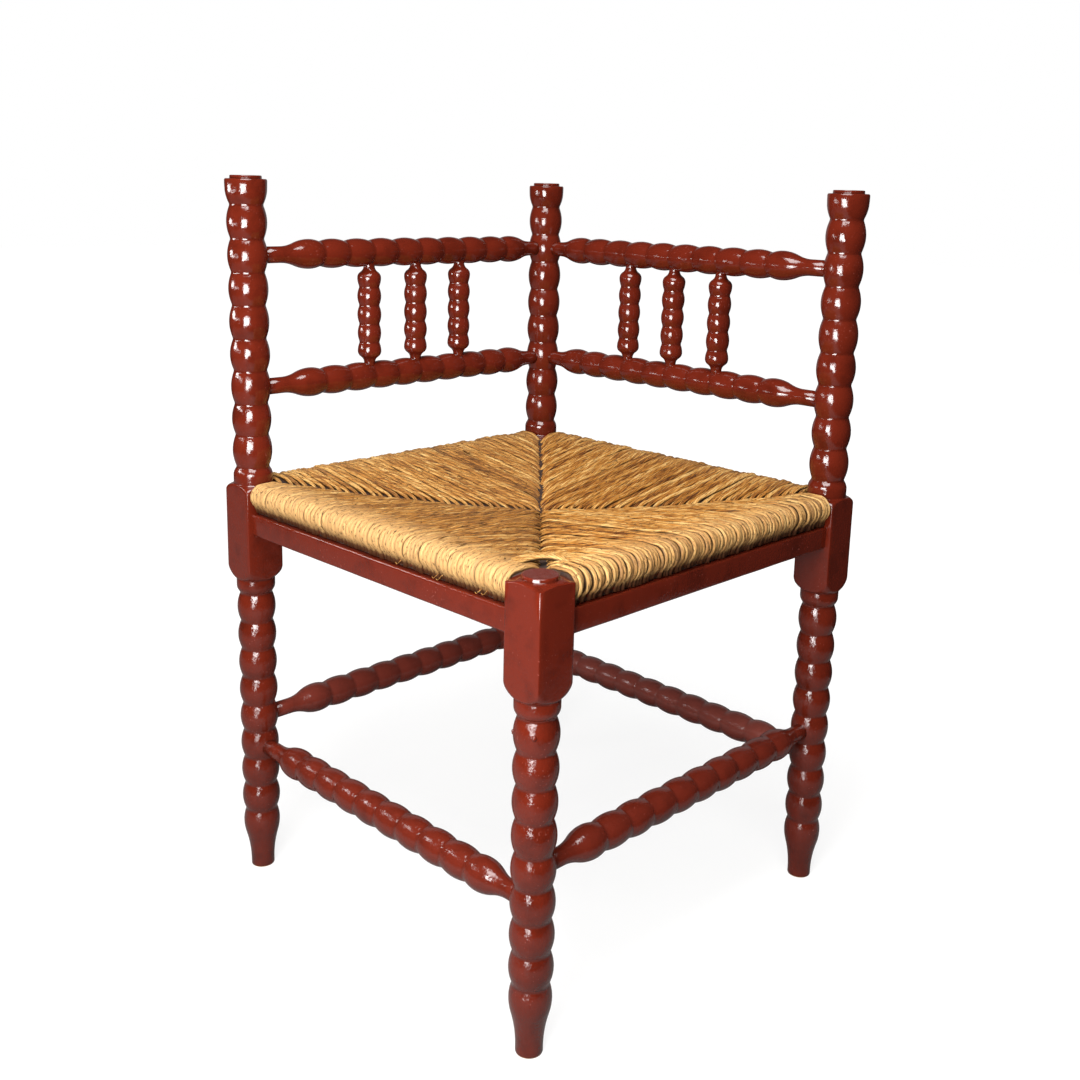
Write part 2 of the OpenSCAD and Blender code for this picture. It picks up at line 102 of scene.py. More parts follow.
class ChairTurning(bpy.types.PropertyGroup):
    """Sizes of the turned pieces."""

    post_bead: metres("Post bead", "Fullest diameter of the post beads", 0.0406)
    post_neck: metres("Post neck", "Diameter of a post between two beads", 0.0342)
    rail_bead: metres(
        "Rail bead", "Fullest diameter of the back rail beads", width("left_top_rail").y)
    rail_neck: metres("Rail neck", "Diameter of a back rail between two beads", 0.0266)
    stretcher_bead: metres(
        "Stretcher bead", "Fullest diameter of the stretcher beads",
        width("back_left_stretcher").y)
    stretcher_neck: metres("Stretcher neck", "Diameter of a stretcher between two beads", 0.028)
    spindle_bead: metres(
        "Spindle bead", "Fullest diameter of the spindle beads", width("left_spindle_1").x)
    spindle_neck: metres("Spindle neck", "Diameter of a spindle between two beads", 0.0226)
    paint_in_necks: metres(
        "Paint in necks", "Distance over which paint rounds out a neck", 0.0005)
    hand_error: metres("Hand error", "How far a hand-turned bead strays from its size", 0.00022)
    segments: IntProperty(
        name="Segments", description="Facets round a post", default=112, min=24, max=160)


class ChairRush(bpy.types.PropertyGroup):
    """Sizes and colours of the wound rush."""

    cord_pitch: metres("Cord pitch", "Distance from one rush cord to the next", 0.0063)
    cord_height: metres("Cord height", "Thickness of a cord across the seat's surface", 0.0058)
    cord_sides: IntProperty(
        name="Cord sides", description="Facets round a rush cord", default=10, min=6, max=16)
    cord_step: metres("Cord step", "Distance between the rings of a rush cord", 0.0036)
    straw_pale: hex_code("Pale straw", "Colour of the palest leaves", "#B6925B")
    straw_light: hex_code("Light straw", "Colour of light leaves", "#9C7036")
    straw_mid: hex_code("Mid straw", "Colour of most leaves", "#87541D")
    straw_brown: hex_code("Brown straw", "Colour of aged leaves", "#6A3F19")
    straw_dark: hex_code("Dark straw", "Colour of the darkest leaves", "#3C1D0A")
    # The worn colour is wear, and on the rolled edge it is also painted light
    straw_worn_and_lit: hex_code("Worn straw", "Colour of leaves rubbed by use", "#A07F53")
    # The groove colour is dirt and painted shade between the cords
    groove_dirt_and_shade_colour: hex_code("Groove dirt", "Colour of the dirt between two cords", "#1E0E05")
    # The stain colour is stain and painted shade on the lower roll and underneath
    under_stain_and_shade: hex_code("Stain", "Colour of the rush under the rails", "#35190A")


class ChairPaint(bpy.types.PropertyGroup):
    """Colours and gloss of the paint."""

    colour: hex_code("Colour", "Colour of the enamel", "#4F160A")
    # The shade colour is darker enamel in drifts, painted shade in creases, necks and corners, and
    # the dark colour of the stubs' faces
    shade: hex_code("Shade", "Colour of the enamel where it lies thick in a crease", "#380E06")
    bare_wood: hex_code("Bare wood", "Colour of the wood where paint has gone", "#C99A62")
    # The dust colour stands for dust and for a painted pale sheen
    dust: hex_code("Dust", "Colour of dusty, scuffed paint", "#7A4038")
    gloss_roughness: FloatProperty(
        name="Roughness", description="Roughness of the enamel's own surface",
        default=0.10, min=0.0, max=1.0)


class ChairStage(bpy.types.PropertyGroup):
    """Camera and lights."""

    camera_at: FloatVectorProperty(
        name="Camera", description="Place of the camera", size=3, subtype="XYZ",
        default=(-0.9084, -0.8984, 0.7598))
    key_power: watts("Key light", "Soft box on the left of the camera", 15.0)
    side_power: watts("Side light", "Strip light on the far left", 1.4)
    low_power: watts("Low light", "Soft box low on the left", 9.0)
    edge_power: watts("Edge light", "Thin strip that lights the top edges", 0.4)
    top_power: watts("Top light", "Large overhead light", 58.0)
    backdrop_power: watts("Backdrop", "Light that the backdrop throws back", 4.0)
    room: FloatProperty(
        name="Room light", description="Brightness of the room round the chair", default=0.34)


def linear(code):
    """Linear RGBA of an sRGB hex colour."""
    parts = [int(code[i:i + 2], 16) / 255 for i in (1, 3, 5)]
    return [c / 12.92 if c <= 0.04045 else ((c + 0.055) / 1.055) ** 2.4 for c in parts] + [1.0]


# Shader nodes. What adds a node returns its output socket, and sizes of noise are metres.

def set_inputs(node, values):
    """Links a node's inputs to sockets, or sets them to plain values."""
    for key, value in values.items():
        if isinstance(value, bpy.types.NodeSocket):
            node.id_data.links.new(value, node.inputs[key])
        else:
            node.inputs[key].default_value = value


def add_node(tree, kind, output, settings=None, inputs=None):
    """Adds a node of any kind."""
    node = tree.nodes.new("ShaderNode" + kind)
    for key, value in (settings or {}).items():
        setattr(node, key, value)
    set_inputs(node, inputs or {})
    return node.outputs[output]


def noise_of(tree, place, size, detail, roughness=0.5):
    """Noise with lumps of one size."""
    return add_node(tree, "TexNoise", "Fac", inputs={
        "Vector": place, "Scale": 1 / size, "Detail": detail, "Roughness": roughness})


def drawn_noise(tree, place, sizes, detail, roughness=0.5):
    """Noise whose lumps have a size of their own along each axis."""
    drawn = add_node(tree, "Mapping", "Vector", inputs={
        "Vector": place, "Scale": [1 / size for size in sizes]})
    return noise_of(tree, drawn, 1.0, detail, roughness)


def remap(tree, value, low, high, to_low=0.0, to_high=1.0):
    """A value taken from one range to another and held at its ends."""
    return add_node(tree, "MapRange", "Result", inputs={
        "Value": value, "From Min": low, "From Max": high, "To Min": to_low, "To Max": to_high})


def reckon(tree, operation, *values):
    """Two or three values put together by a math operation."""
    return add_node(tree, "Math", "Value", {"operation": operation}, dict(enumerate(values)))


def blend(tree, factor, first, second, kind="RGBA"):
    """First where the factor is 0 and second where it is 1."""
    return add_node(tree, "Mix", "Result", {"data_type": kind}, {
        "Factor": factor, "A": first, "B": second})


def carried(tree, name):
    """A value that the mesh carries on its vertices."""
    return add_node(tree, "Attribute", "Fac", {"attribute_name": name})


def relief(tree, height, strength, distance, over=None, invert=False):
    """Relief in the surface, laid over other relief where there is any."""
    inputs = {"Height": height, "Strength": strength, "Distance": distance}
    if over is not None:
        inputs["Normal"] = over
    return add_node(tree, "Bump", "Normal", {"invert": invert}, inputs)


def ramp(tree, value, stops):
    """Colours along a ramp of (position, hex colour) stops."""
    tone = add_node(tree, "ValToRGB", "Color", inputs={"Fac": value})
    elements = tone.node.color_ramp.elements
    while len(elements) < len(stops):
        elements.new(0.5)
    for element, (position, code) in zip(elements, stops):
        element.position = position
        element.color = linear(code)
    return tone


def new_material(name):
    """A material with its node tree and principled shader."""
    material = bpy.data.materials.new(name)
    material.use_nodes = True
    tree = material.node_tree
    return material, tree, tree.nodes["Principled BSDF"]


# Materials. Each is made on first use, and the same one is returned after that.

@functools.cache
def gloss_enamel():
    """Gloss oil enamel brushed over turned beech.

    It shows a sharp soft-box highlight that brush ridges and lumps break up, painted shade in
    its creases and necks, and bare wood on the end of a foot and in a few small chips."""
    paint = bpy.context.scene.chair_paint
    material, tree, shader = new_material("oxblood_gloss_enamel_on_beech")
    place = add_node(tree, "TexCoord", "Object")
    height = add_node(tree, "SeparateXYZ", "Z", inputs={"Vector": place})

    # Thick enamel settles in drifts about 30 mm across
    drift = noise_of(tree, place, 0.030, 5.0, 0.62)
    tone = ramp(tree, drift, [(0.2, paint.shade), (0.5, paint.colour)])
    # Creases, necks and corners take the shade colour as painted shade
    crease_shaded = blend(tree, carried(tree, "crease"), tone, linear(paint.shade))

    # Scuffs are pale specks 1 mm wide, which lie in patches 40 mm across
    patches = remap(tree, noise_of(tree, place, 0.040, 1.0), 0.45, 0.65, 0.0, 0.09)
    specks = reckon(tree, "ADD", noise_of(tree, place, 0.0021, 1.0), patches)
    scuffs = remap(tree, specks, 0.775, 0.815, 0.0, 0.5)

    # Dust dulls and pales, and a painted sheen lightens, the end grain of the stubs and the tops of
    # the stretchers
    dust = carried(tree, "dust")
    with_dust_and_sheen = blend(tree, reckon(tree, "MAXIMUM", dust, scuffs), crease_shaded, linear(paint.dust))

    # Chips are 1 to 2 mm and rare, so the noise is cut close to its top
    chips = remap(tree, noise_of(tree, place, 0.009, 5.0, 0.7), 0.765, 0.775)
    foot_end = remap(tree, height, 0.0012, 0.0006)
    bare = reckon(tree, "MAXIMUM", chips, foot_end)

    # Waves in the paint are 14 mm long and lumps 2.4 mm. The lumps stand higher on the legs,
    # where the paint ran down and lies thicker.
    waves = relief(tree, noise_of(tree, place, 0.014, 1.0), 0.35, 0.0010)
    thicker = remap(tree, height, 0.42, 0.32, 1.0, 2.4)
    lumps = reckon(tree, "MULTIPLY", noise_of(tree, place, 0.0024, 2.0), thicker)
    lumpy = relief(tree, lumps, 0.5, 0.0003, over=waves)
    # Upright brush marks are 0.5 mm wide in the paint, and drawn 1.2 mm wide
    strokes = drawn_noise(tree, place, (0.0012, 0.0012, 0.035), 2.0)

    rough = paint.gloss_roughness
    uneven = remap(tree, drift, 0.3, 0.7, rough - 0.03, rough + 0.06)
    set_inputs(shader, {
        "Base Color": blend(tree, bare, with_dust_and_sheen, linear(paint.bare_wood)),
        "Normal": relief(tree, strokes, 0.10, 0.0002, over=lumpy),
        "Roughness": reckon(tree, "MULTIPLY_ADD", dust, 0.12, uneven),
        "IOR": 1.5})
    return material


@functools.cache
def rush_leaf():
    """Twisted bulrush leaves, dried and polished by use.

    Long fibres run round the cord at a slant, in pale and brown leaves with dark cracks and a
    dull waxy sheen. The grooves between cords are dark brown with dirt and painted shade, and
    the lower roll and the underside with stain and painted shade."""
    rush = bpy.context.scene.chair_rush
    material, tree, shader = new_material("twisted_rush_leaf")
    # The UV map is in metres, along the cord and round it
    uv = add_node(tree, "UVMap", "UV", {"uv_map": "UVMap"})

    def streaks(along, across, detail):
        """Noise drawn out along the leaf."""
        return drawn_noise(tree, uv, (along, across, 1.0), detail, 0.62)

    # Fibres are 0.3 mm wide in a real leaf, and drawn 1.3 mm wide so that they show
    fibre = streaks(0.028, 0.0013, 5.0)
    contrast = remap(tree, fibre, 0.36, 0.64, 0.0, 0.66)
    leaves = reckon(
        tree, "MULTIPLY_ADD", streaks(0.060, 0.005, 2.0), 1.2, carried(tree, "cord_tint"))
    tone = ramp(tree, reckon(tree, "MULTIPLY_ADD", leaves, 0.7, contrast), [
        (0.22, rush.straw_dark), (0.38, rush.straw_brown), (0.54, rush.straw_mid),
        (0.74, rush.straw_light), (0.95, rush.straw_pale)])
    # Rubbing by clothes has left some leaves paler and greyer, and the rolled edge is paler still as
    # painted light
    rubbed_and_lit = blend(tree, carried(tree, "worn"), tone, linear(rush.straw_worn_and_lit))

    # Cracks are about 4 mm long
    cracks = remap(tree, streaks(0.0045, 0.0012, 3.0), 0.58, 0.64, 0.0, 0.9)
    # Towards the grooves the cords darken, as dirt and painted shade
    dirt = remap(tree, carried(tree, "groove"), 0.3, 0.85, 0.0, 0.9)
    lined = blend(
        tree, reckon(tree, "MAXIMUM", dirt, cracks), rubbed_and_lit, linear(rush.groove_dirt_and_shade_colour))

    fibrous = relief(tree, fibre, 0.7, 0.0007)
    # The lower roll and the underside take the stain colour, as stain and painted shade
    set_inputs(shader, {
        "Base Color": blend(tree, carried(tree, "stain"), lined, linear(rush.under_stain_and_shade)),
        "Normal": relief(tree, cracks, 0.7, 0.0005, over=fibrous, invert=True),
        "Roughness": remap(tree, fibre, 0.3, 0.7, 0.42, 0.68),
        "Specular IOR Level": 0.12})
    return material


@functools.cache
def dark_rush():
    """Older rush and dust deep between the cords, drawn in dark browns as painted shade, which only
    show as a dark lining.
    """
    material, tree, shader = new_material("rush_core_in_shadow")
    mottle = noise_of(tree, add_node(tree, "TexCoord", "Object"), 0.004, 3.0)
    set_inputs(shader, {
        "Base Color": ramp(tree, mottle, [(0.35, "#1E0F06"), (0.7, "#3C200D")]),
        "Roughness": 0.9})
    return material


def add_object(name, data):
    """Puts a mesh, light or camera into the scene."""
    added = bpy.data.objects.new(name, data)
    bpy.context.scene.collection.objects.link(added)
    return added


def add_mesh(builder, name, material):
    """Turns a bmesh into an object of one material."""
    mesh = bpy.data.meshes.new(name)
    builder.to_mesh(mesh)
    builder.free()
    mesh.materials.append(material)
    return add_object(name, mesh)


def place_piece(builder, name, material, nodes):
    """Makes a smooth piece that rides on the chair and stands for CAD nodes."""
    piece = add_mesh(builder, name, material)
    piece.data.shade_smooth()
    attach(piece, "root")
    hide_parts(*nodes)
    return piece


def place_wood(builder, prefix, node):
    """Places a painted wooden piece that stands for one CAD node."""
    place_piece(builder, prefix + node, gloss_enamel(), [node])


# Turning: an outline is a list of (radius, height, crease shade) from one end to the other.
# Crease shade is painted shade in necks and corners, and it darkens the stubs' faces.

NECK_FLAT = 0.0006
# How dark the painted shade in a neck is, and how far up a bead it fades
NECK_SHADE = 0.5
NECK_FADE = 0.0011
# Rings stand close together beside a neck, where the paint's curve is tight
NECK_RINGS = (0.0, 0.0005, 0.0008, 0.0012, 0.0018, 0.0027, 0.0040)
MIDDLE_STEPS = 8
OGEE_STEPS = 14
# How much further a neck strays from its place than a bead does from its size
NECK_ERROR = 2.2


def bead_rings(length):
    """Ring places along a bead, without its last one."""
    inner = [NECK_RINGS[-1] + (length - 2 * NECK_RINGS[-1]) * k / MIDDLE_STEPS
             for k in range(1, MIDDLE_STEPS)]
    return list(NECK_RINGS) + inner + [length - at for at in reversed(NECK_RINGS[1:])]


def bead_point(height, from_neck, half_length, neck, rise):
    """Point on a bead that rises by some amount over its neck.

    The skew leaves an arc with a narrow flat in the neck, and paint rounds out the corner
    between them."""
    fill = bpy.context.scene.chair_turning.paint_in_necks
    past_flat = math.sqrt(max(0.0, from_neck - NECK_FLAT) ** 2 + fill ** 2) - fill
    from_middle = max(0.0, 1 - past_flat / (half_length - NECK_FLAT - fill))
    return (neck / 2 + rise * (1 - from_middle ** 2), height,
            NECK_SHADE * math.exp(-from_neck / NECK_FADE))


def bead_row(start, length, count, bead, neck, rng):
    """A row of beads that wander a little, as a hand on the lathe leaves them."""
    error = bpy.context.scene.chair_turning.hand_error
    cuts = [start + i * length for i in range(count + 1)]
    for i in range(1, count):
        cuts[i] += rng.uniform(-error, error) * NECK_ERROR
    points = []
    for low, high in zip(cuts, cuts[1:]):
        size = high - low
        rise = (bead - neck) / 2 + rng.uniform(-error, error) / 2
        points += [bead_point(low + at, min(at, size - at), size / 2, neck, rise)
                   for at in bead_rings(size)]
    return points


def half_bead(length, bead, neck):
    """Points from the neck up to the fullest one, without that one."""
    rings = bead_rings(2 * length)[:len(NECK_RINGS) + MIDDLE_STEPS // 2 - 1]
    return [bead_point(at, at, length, neck, (bead - neck) / 2) for at in rings]


def ogee(run, bead, end, early):
    """Points from the fullest one down an S curve to a plain end.

    early is the share of the run that the bulge takes."""
    drop = (bead - end) / 2
    arcs = (run ** 2 + drop ** 2) / (2 * drop)
    bulge, hollow = early * arcs, (1 - early) * arcs
    points = []
    for k in range(OGEE_STEPS + 1):
        at = run * k / OGEE_STEPS
        if at < early * run:
            radius = bead / 2 - bulge + math.sqrt(bulge ** 2 - at ** 2)
        else:
            radius = end / 2 + hollow - math.sqrt(hollow ** 2 - (run - at) ** 2)
        points.append((radius, at, 0.0))
    return points


def moved(outline, start):
    """An outline raised to start at a height."""
    return [(radius, start + at, crease) for radius, at, crease in outline]


def hung(outline, top):
    """An outline turned over, so that it hangs from a height."""
    return [(radius, top - at, crease) for radius, at, crease in reversed(outline)]


def tapered_end(rise, run, plain, bead, neck, end):
    """An end that swells from a neck, falls in an S curve and then runs plain."""
    points = half_bead(rise, bead, neck) + moved(ogee(run, bead, end, 0.5), rise)
    return points + [(end / 2, rise + run + plain, 0.0)]


def turned(outline, segments):
    """Spins an outline about Z. The part of a crease shade value above 1 is dust and painted sheen,
    as on a lathe stub.
    """
    builder = bmesh.new()
    crease_shade_layer = builder.verts.layers.float.new("crease")
    dust_and_sheen_layer = builder.verts.layers.float.new("dust")
    verts = []
    for radius, height, crease in outline:
        vert = builder.verts.new((radius, 0.0, height))
        vert[crease_shade_layer] = min(1.0, crease)
        vert[dust_and_sheen_layer] = max(0.0, crease - 1.0)
        verts.append(vert)
    edges = [builder.edges.new(pair) for pair in zip(verts, verts[1:])]
    bmesh.ops.spin(
        builder, geom=verts + edges, cent=(0, 0, 0), axis=(0, 0, 1), dvec=(0, 0, 0),
        angle=2 * math.pi, steps=segments, use_merge=True)
    bmesh.ops.remove_doubles(builder, verts=builder.verts, dist=1e-6)
    bmesh.ops.recalc_face_normals(builder, faces=builder.faces)
    return builder


# Posts

LEG = {"foot": 0.0695, "tip": 0.0252, "foot_bead": 0.0392, "rise": 0.0145, "plain": 0.005,
       "bulge": 0.28, "bead": 0.0317}
BACK = {"bead": 0.0339, "cap": 0.026, "swell": 0.017, "cap_d": 0.0426}
BLOCK = {
    "low": 0.3401, "top": 0.4441, "low_tongue": 0.013, "high_tongue": 0.0075,
    "front_slope": 0.0036, "half": 0.0213, "low_arc": 0.022, "high_arc": 0.012}
# The front stub's face takes dust and a painted pale sheen
STUB = {"d": 0.032, "h": 0.0036, "front_dust_and_sheen": 0.22}
BEADS_PER_ROW = 8
# Inside this radius a post stays round within its block
ROUND_CORE_R = 0.017
# Powers that keep a block's upright corners and its turned slopes a little soft with paint
CORNER_SHARPNESS = 90
RIDGE_SHARPNESS = 26
# How far thick paint makes a block's edges wave up and down
EDGE_WAVE = 0.0006
# Turn in radians that draws a post's facets together towards the corners of its block
GATHER = 0.18
# Lumps of paint on the front leg, one of them over a peg: height, turn from +X and radius
PAINT_LUMPS = ((0.3105, -141, 0.0024), (0.3085, 139, 0.0016), (0.3068, 139, 0.0012))


def leg_outline(rng):
    """Outline from the floor to the seat block."""
    sizes = bpy.context.scene.chair_turning
    bead, neck = sizes.post_bead, sizes.post_neck
    tip = LEG["tip"] / 2
    points = [(0.0, 0.0, 1.0), (tip * 0.6, 0.0, 1.0), (tip - 0.0010, 0.0, 0.6),
              (tip - 0.0003, 0.0003, 0.2), (tip, 0.0012, 0.0)]
    run = LEG["foot"] - LEG["rise"] - LEG["plain"]
    foot = half_bead(LEG["rise"], LEG["foot_bead"], neck)
    foot += moved(ogee(run, LEG["foot_bead"], LEG["tip"], LEG["bulge"]), LEG["rise"])
    points += hung(foot[1:], LEG["foot"])
    points += bead_row(LEG["foot"], LEG["bead"], BEADS_PER_ROW, bead, neck, rng)
    top = LEG["foot"] + BEADS_PER_ROW * LEG["bead"]
    half = (BLOCK["low"] - top) / 2
    points += moved(half_bead(half, bead, neck), top)
    return points + [
        (bead / 2, top + half, 0.0), (bead / 2, BLOCK["low"] - 0.0016, 0.0),
        (bead / 2 - 0.0003, BLOCK["low"] - 0.0006, 0.5)]


def arc_flank(low, high, radius, steps):
    """Points on an arc that bulges outwards between two (radius, height) points."""
    chord = Vector((high[0] - low[0], high[1] - low[1]))
    back_off = math.sqrt(radius ** 2 - chord.length ** 2 / 4)
    inward = Vector((-chord.y, chord.x)).normalized() * back_off
    centre = Vector(((low[0] + high[0]) / 2, (low[1] + high[1]) / 2)) + inward
    start = math.atan2(low[1] - centre.y, low[0] - centre.x)
    end = math.atan2(high[1] - centre.y, high[0] - centre.x)
    angles = [start + (end - start) * k / steps for k in range(steps + 1)]
    return [(centre.x + radius * math.cos(angle), centre.y + radius * math.sin(angle), 0.0)
            for angle in angles]


def block_outline(is_front):
    """Outline of the lathe's cut across the seat block, out to its corners."""
    corner = BLOCK["half"] * math.sqrt(2)
    round_r = bpy.context.scene.chair_turning.post_bead / 2
    flat_low = BLOCK["low"] + BLOCK["low_tongue"]
    slope = BLOCK["front_slope"] if is_front else BLOCK["high_tongue"]
    flat_top = BLOCK["top"] - slope
    points = arc_flank(
        (round_r - 0.0002, BLOCK["low"]), (corner, flat_low), BLOCK["low_arc"], 30)
    points += [(corner, flat_low + (flat_top - flat_low) * share, 0.0) for share in (0.35, 0.7)]
    if is_front:
        end = STUB["d"] / 2 + 0.001
        points += [(corner + (end - corner) * k / 12, flat_top + slope * k / 12, 0.0)
                   for k in range(13)]
    else:
        points += arc_flank((corner, flat_top), (round_r, BLOCK["top"]), BLOCK["high_arc"], 16)
    return points


def stub_outline(base, dust):
    """The lathe stub left on top, with painted shade where it meets the block, a soft edge and a
    slightly sunk face in the dark shade colour, under any dust and painted sheen it is given.
    """
    r = STUB["d"] / 2
    top = base + STUB["h"]
    return [(r + 0.0004, base + 0.0001, 1.0), (r, base + 0.0007, 0.7), (r, top - 0.0010, 0.0),
            (r - 0.0003, top - 0.0003, 0.0), (r - 0.0011, top, 0.0),
            (r - 0.0018, top, 1 + dust), (r * 0.6, top - 0.0002, 1 + dust),
            (r * 0.25, top - 0.0003, 1 + dust), (0.0, top - 0.0003, 1 + dust)]


def back_outline(rng):
    """Outline from the seat block to the lathe stub on top."""
    sizes = bpy.context.scene.chair_turning
    bead, neck = sizes.post_bead, sizes.post_neck
    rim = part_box("back_post")[1].z - STUB["h"]
    top = rim - BACK["cap"]
    low = top - BEADS_PER_ROW * BACK["bead"]
    half = (low - BLOCK["top"]) / 2
    edge = BACK["cap_d"] / 2
    points = [(bead / 2, BLOCK["top"] + 0.001, 0.3), (bead / 2, BLOCK["top"] + half, 0.0)]
    points += hung(half_bead(half, bead, neck)[1:], low)
    points += bead_row(low, BACK["bead"], BEADS_PER_ROW, bead, neck, rng)
    points += moved(half_bead(BACK["swell"], BACK["cap_d"] - 0.0004, neck), top)
    points += [(edge - 0.0001, top + BACK["swell"] + 0.002, 0.0), (edge, rim - 0.0016, 0.0),
               (edge - 0.0004, rim - 0.0006, 0.0), (edge - 0.0013, rim, 0.0),
               (edge - 0.0030, rim - 0.0002, 0.2)]
    return points + stub_outline(rim - 0.0002, 0.0)


def squared(builder):
    """Flattens the four sides of the seat block and keeps its edges soft with paint."""
    for vert in builder.verts:
        turned_r = math.hypot(vert.co.x, vert.co.y)
        in_block = BLOCK["low"] - 0.0001 <= vert.co.z <= BLOCK["top"] + 0.0001
        if not in_block or turned_r < ROUND_CORE_R:
            continue
        x, y = abs(vert.co.x) / turned_r, abs(vert.co.y) / turned_r
        flat_r = BLOCK["half"] / (
            x ** CORNER_SHARPNESS + y ** CORNER_SHARPNESS) ** (1 / CORNER_SHARPNESS)
        radius = (turned_r ** -RIDGE_SHARPNESS + flat_r ** -RIDGE_SHARPNESS) ** (
            -1 / RIDGE_SHARPNESS)
        vert.co.x *= radius / turned_r
        vert.co.y *= radius / turned_r
        vert.co.z += EDGE_WAVE * noise.noise(vert.co * 130)


def gathered(builder):
    """Draws the facets round a post together towards the four corners of its block."""
    for vert in builder.verts:
        radius = math.hypot(vert.co.x, vert.co.y)
        if radius > 1e-6:
            angle = math.atan2(vert.co.y, vert.co.x)
            angle -= GATHER * math.sin(4 * angle + math.pi)
            vert.co.x = radius * math.cos(angle)
            vert.co.y = radius * math.sin(angle)


def add_lumps(builder):
    """Adds the lumps of paint to a post that still stands on the origin."""
    for height, turn, radius in PAINT_LUMPS:
        out = bpy.context.scene.chair_turning.post_bead / 2 - radius * 0.2
        angle = math.radians(turn)
        verts = bmesh.ops.create_uvsphere(
            builder, u_segments=12, v_segments=8, radius=radius)["verts"]
        bmesh.ops.translate(
            builder, vec=(out * math.cos(angle), out * math.sin(angle), height), verts=verts)


class CHAIR_OT_posts(bpy.types.Operator):
    """Builds the four turned posts with their square seat blocks"""

    bl_idname = "chair.posts"
    bl_label = "Turned posts"

    def execute(self, context):
        for number, node in enumerate(POSTS):
            rng = random.Random(SEEDS["posts"] + number)
            is_front = node == "front_post"
            outline = leg_outline(rng) + block_outline(is_front)
            if is_front:
                outline += stub_outline(BLOCK["top"], STUB["front_dust_and_sheen"])
            else:
                outline += back_outline(rng)
            builder = turned(outline, context.scene.chair_turning.segments)
            gathered(builder)
            squared(builder)
            if is_front:
                add_lumps(builder)
            at = middle(node)
            bmesh.ops.translate(builder, vec=(at.x, at.y, 0), verts=builder.verts)
            place_wood(builder, "turned_", node)
        return {"FINISHED"}


# Rails, stretchers and spindles

BAR = {"bottle": 0.0628, "rise": 0.0138, "plain": 0.013, "end": 0.0174, "segments": 64}
SPINDLE = {"taper": 0.0145, "plain": 0.0015, "end": 0.0124, "tenon": 0.009, "segments": 48}
SPINDLE_BEADS = 3
# Dust and a painted pale sheen on top of each stretcher, in the order of SIDES
STRETCHER_DUST_AND_SHEEN = (0.05, 0.05, 0.25, 0.6)
# Distance that the beads of a bar lie off its middle, towards +X or +Y
BEAD_SHIFT = {
    "left_top_rail": 0.005, "right_top_rail": 0.005, "left_lower_rail": 0.005,
    "right_lower_rail": 0.005, "front_left_stretcher": -0.0055, "front_right_stretcher": 0.0,
    "back_left_stretcher": 0.0055, "back_right_stretcher": -0.0055}


def bar_outline(length, bead, neck, shift, rng):
    """A beaded bar with a bottle-shaped end either side, centred on zero."""
    post_bead = bpy.context.scene.chair_turning.post_bead
    between = 2 * HALF_PLAN - post_bead - 2 * BAR["bottle"]
    tenon = (length - between) / 2 - BAR["bottle"]
    run = BAR["bottle"] - BAR["rise"] - BAR["plain"]
    low_end, high_end = (
        tapered_end(BAR["rise"], run, BAR["plain"] + tenon + move, bead, neck, BAR["end"])
        for move in (shift, -shift))
    low, high = shift - between / 2, shift + between / 2
    beads = bead_row(low, between / BEADS_PER_ROW, BEADS_PER_ROW, bead, neck, rng)
    return [(0.0, -length / 2, 0.0), *hung(low_end, low)[:-1], *beads, *moved(high_end, high),
            (0.0, length / 2, 0.0)]


def place_bar(node, bead, neck, seed, dust=0.0):
    """Makes a beaded bar where its CAD node lies, with dust and a painted pale sheen on its upper
    half.
    """
    size = width(node)
    outline = bar_outline(
        max(size.x, size.y), bead, neck, BEAD_SHIFT[node], random.Random(seed))
    builder = turned(outline, BAR["segments"])
    turn = (Matrix.Rotation(math.pi / 2, 4, "Y") if size.x > size.y
            else Matrix.Rotation(-math.pi / 2, 4, "X"))
    bmesh.ops.transform(builder, matrix=turn, verts=builder.verts)
    dust_and_sheen_layer = builder.verts.layers.float["dust"]
    for vert in builder.verts:
        vert[dust_and_sheen_layer] = dust * max(0.0, min(1.0, 0.5 + vert.co.z / (bead / 2)))
    bmesh.ops.translate(builder, vec=middle(node), verts=builder.verts)
    place_wood(builder, "beaded_", node)


class CHAIR_OT_back_rails(bpy.types.Operator):
    """Builds the four beaded rails of the back"""

    bl_idname = "chair.back_rails"
    bl_label = "Back rails"

    def execute(self, context):
        sizes = context.scene.chair_turning
        for number, node in enumerate(BACK_RAILS):
            place_bar(node, sizes.rail_bead, sizes.rail_neck, SEEDS["back_rails"] + number)
        return {"FINISHED"}


class CHAIR_OT_stretchers(bpy.types.Operator):
    """Builds the four beaded stretchers between the legs"""

    bl_idname = "chair.stretchers"
    bl_label = "Stretchers"

    def execute(self, context):
        sizes = context.scene.chair_turning
        for number, (side, dust) in enumerate(zip(SIDES, STRETCHER_DUST_AND_SHEEN)):
            place_bar(side + "_stretcher", sizes.stretcher_bead, sizes.stretcher_neck,
                      SEEDS["stretchers"] + number, dust)
        return {"FINISHED"}


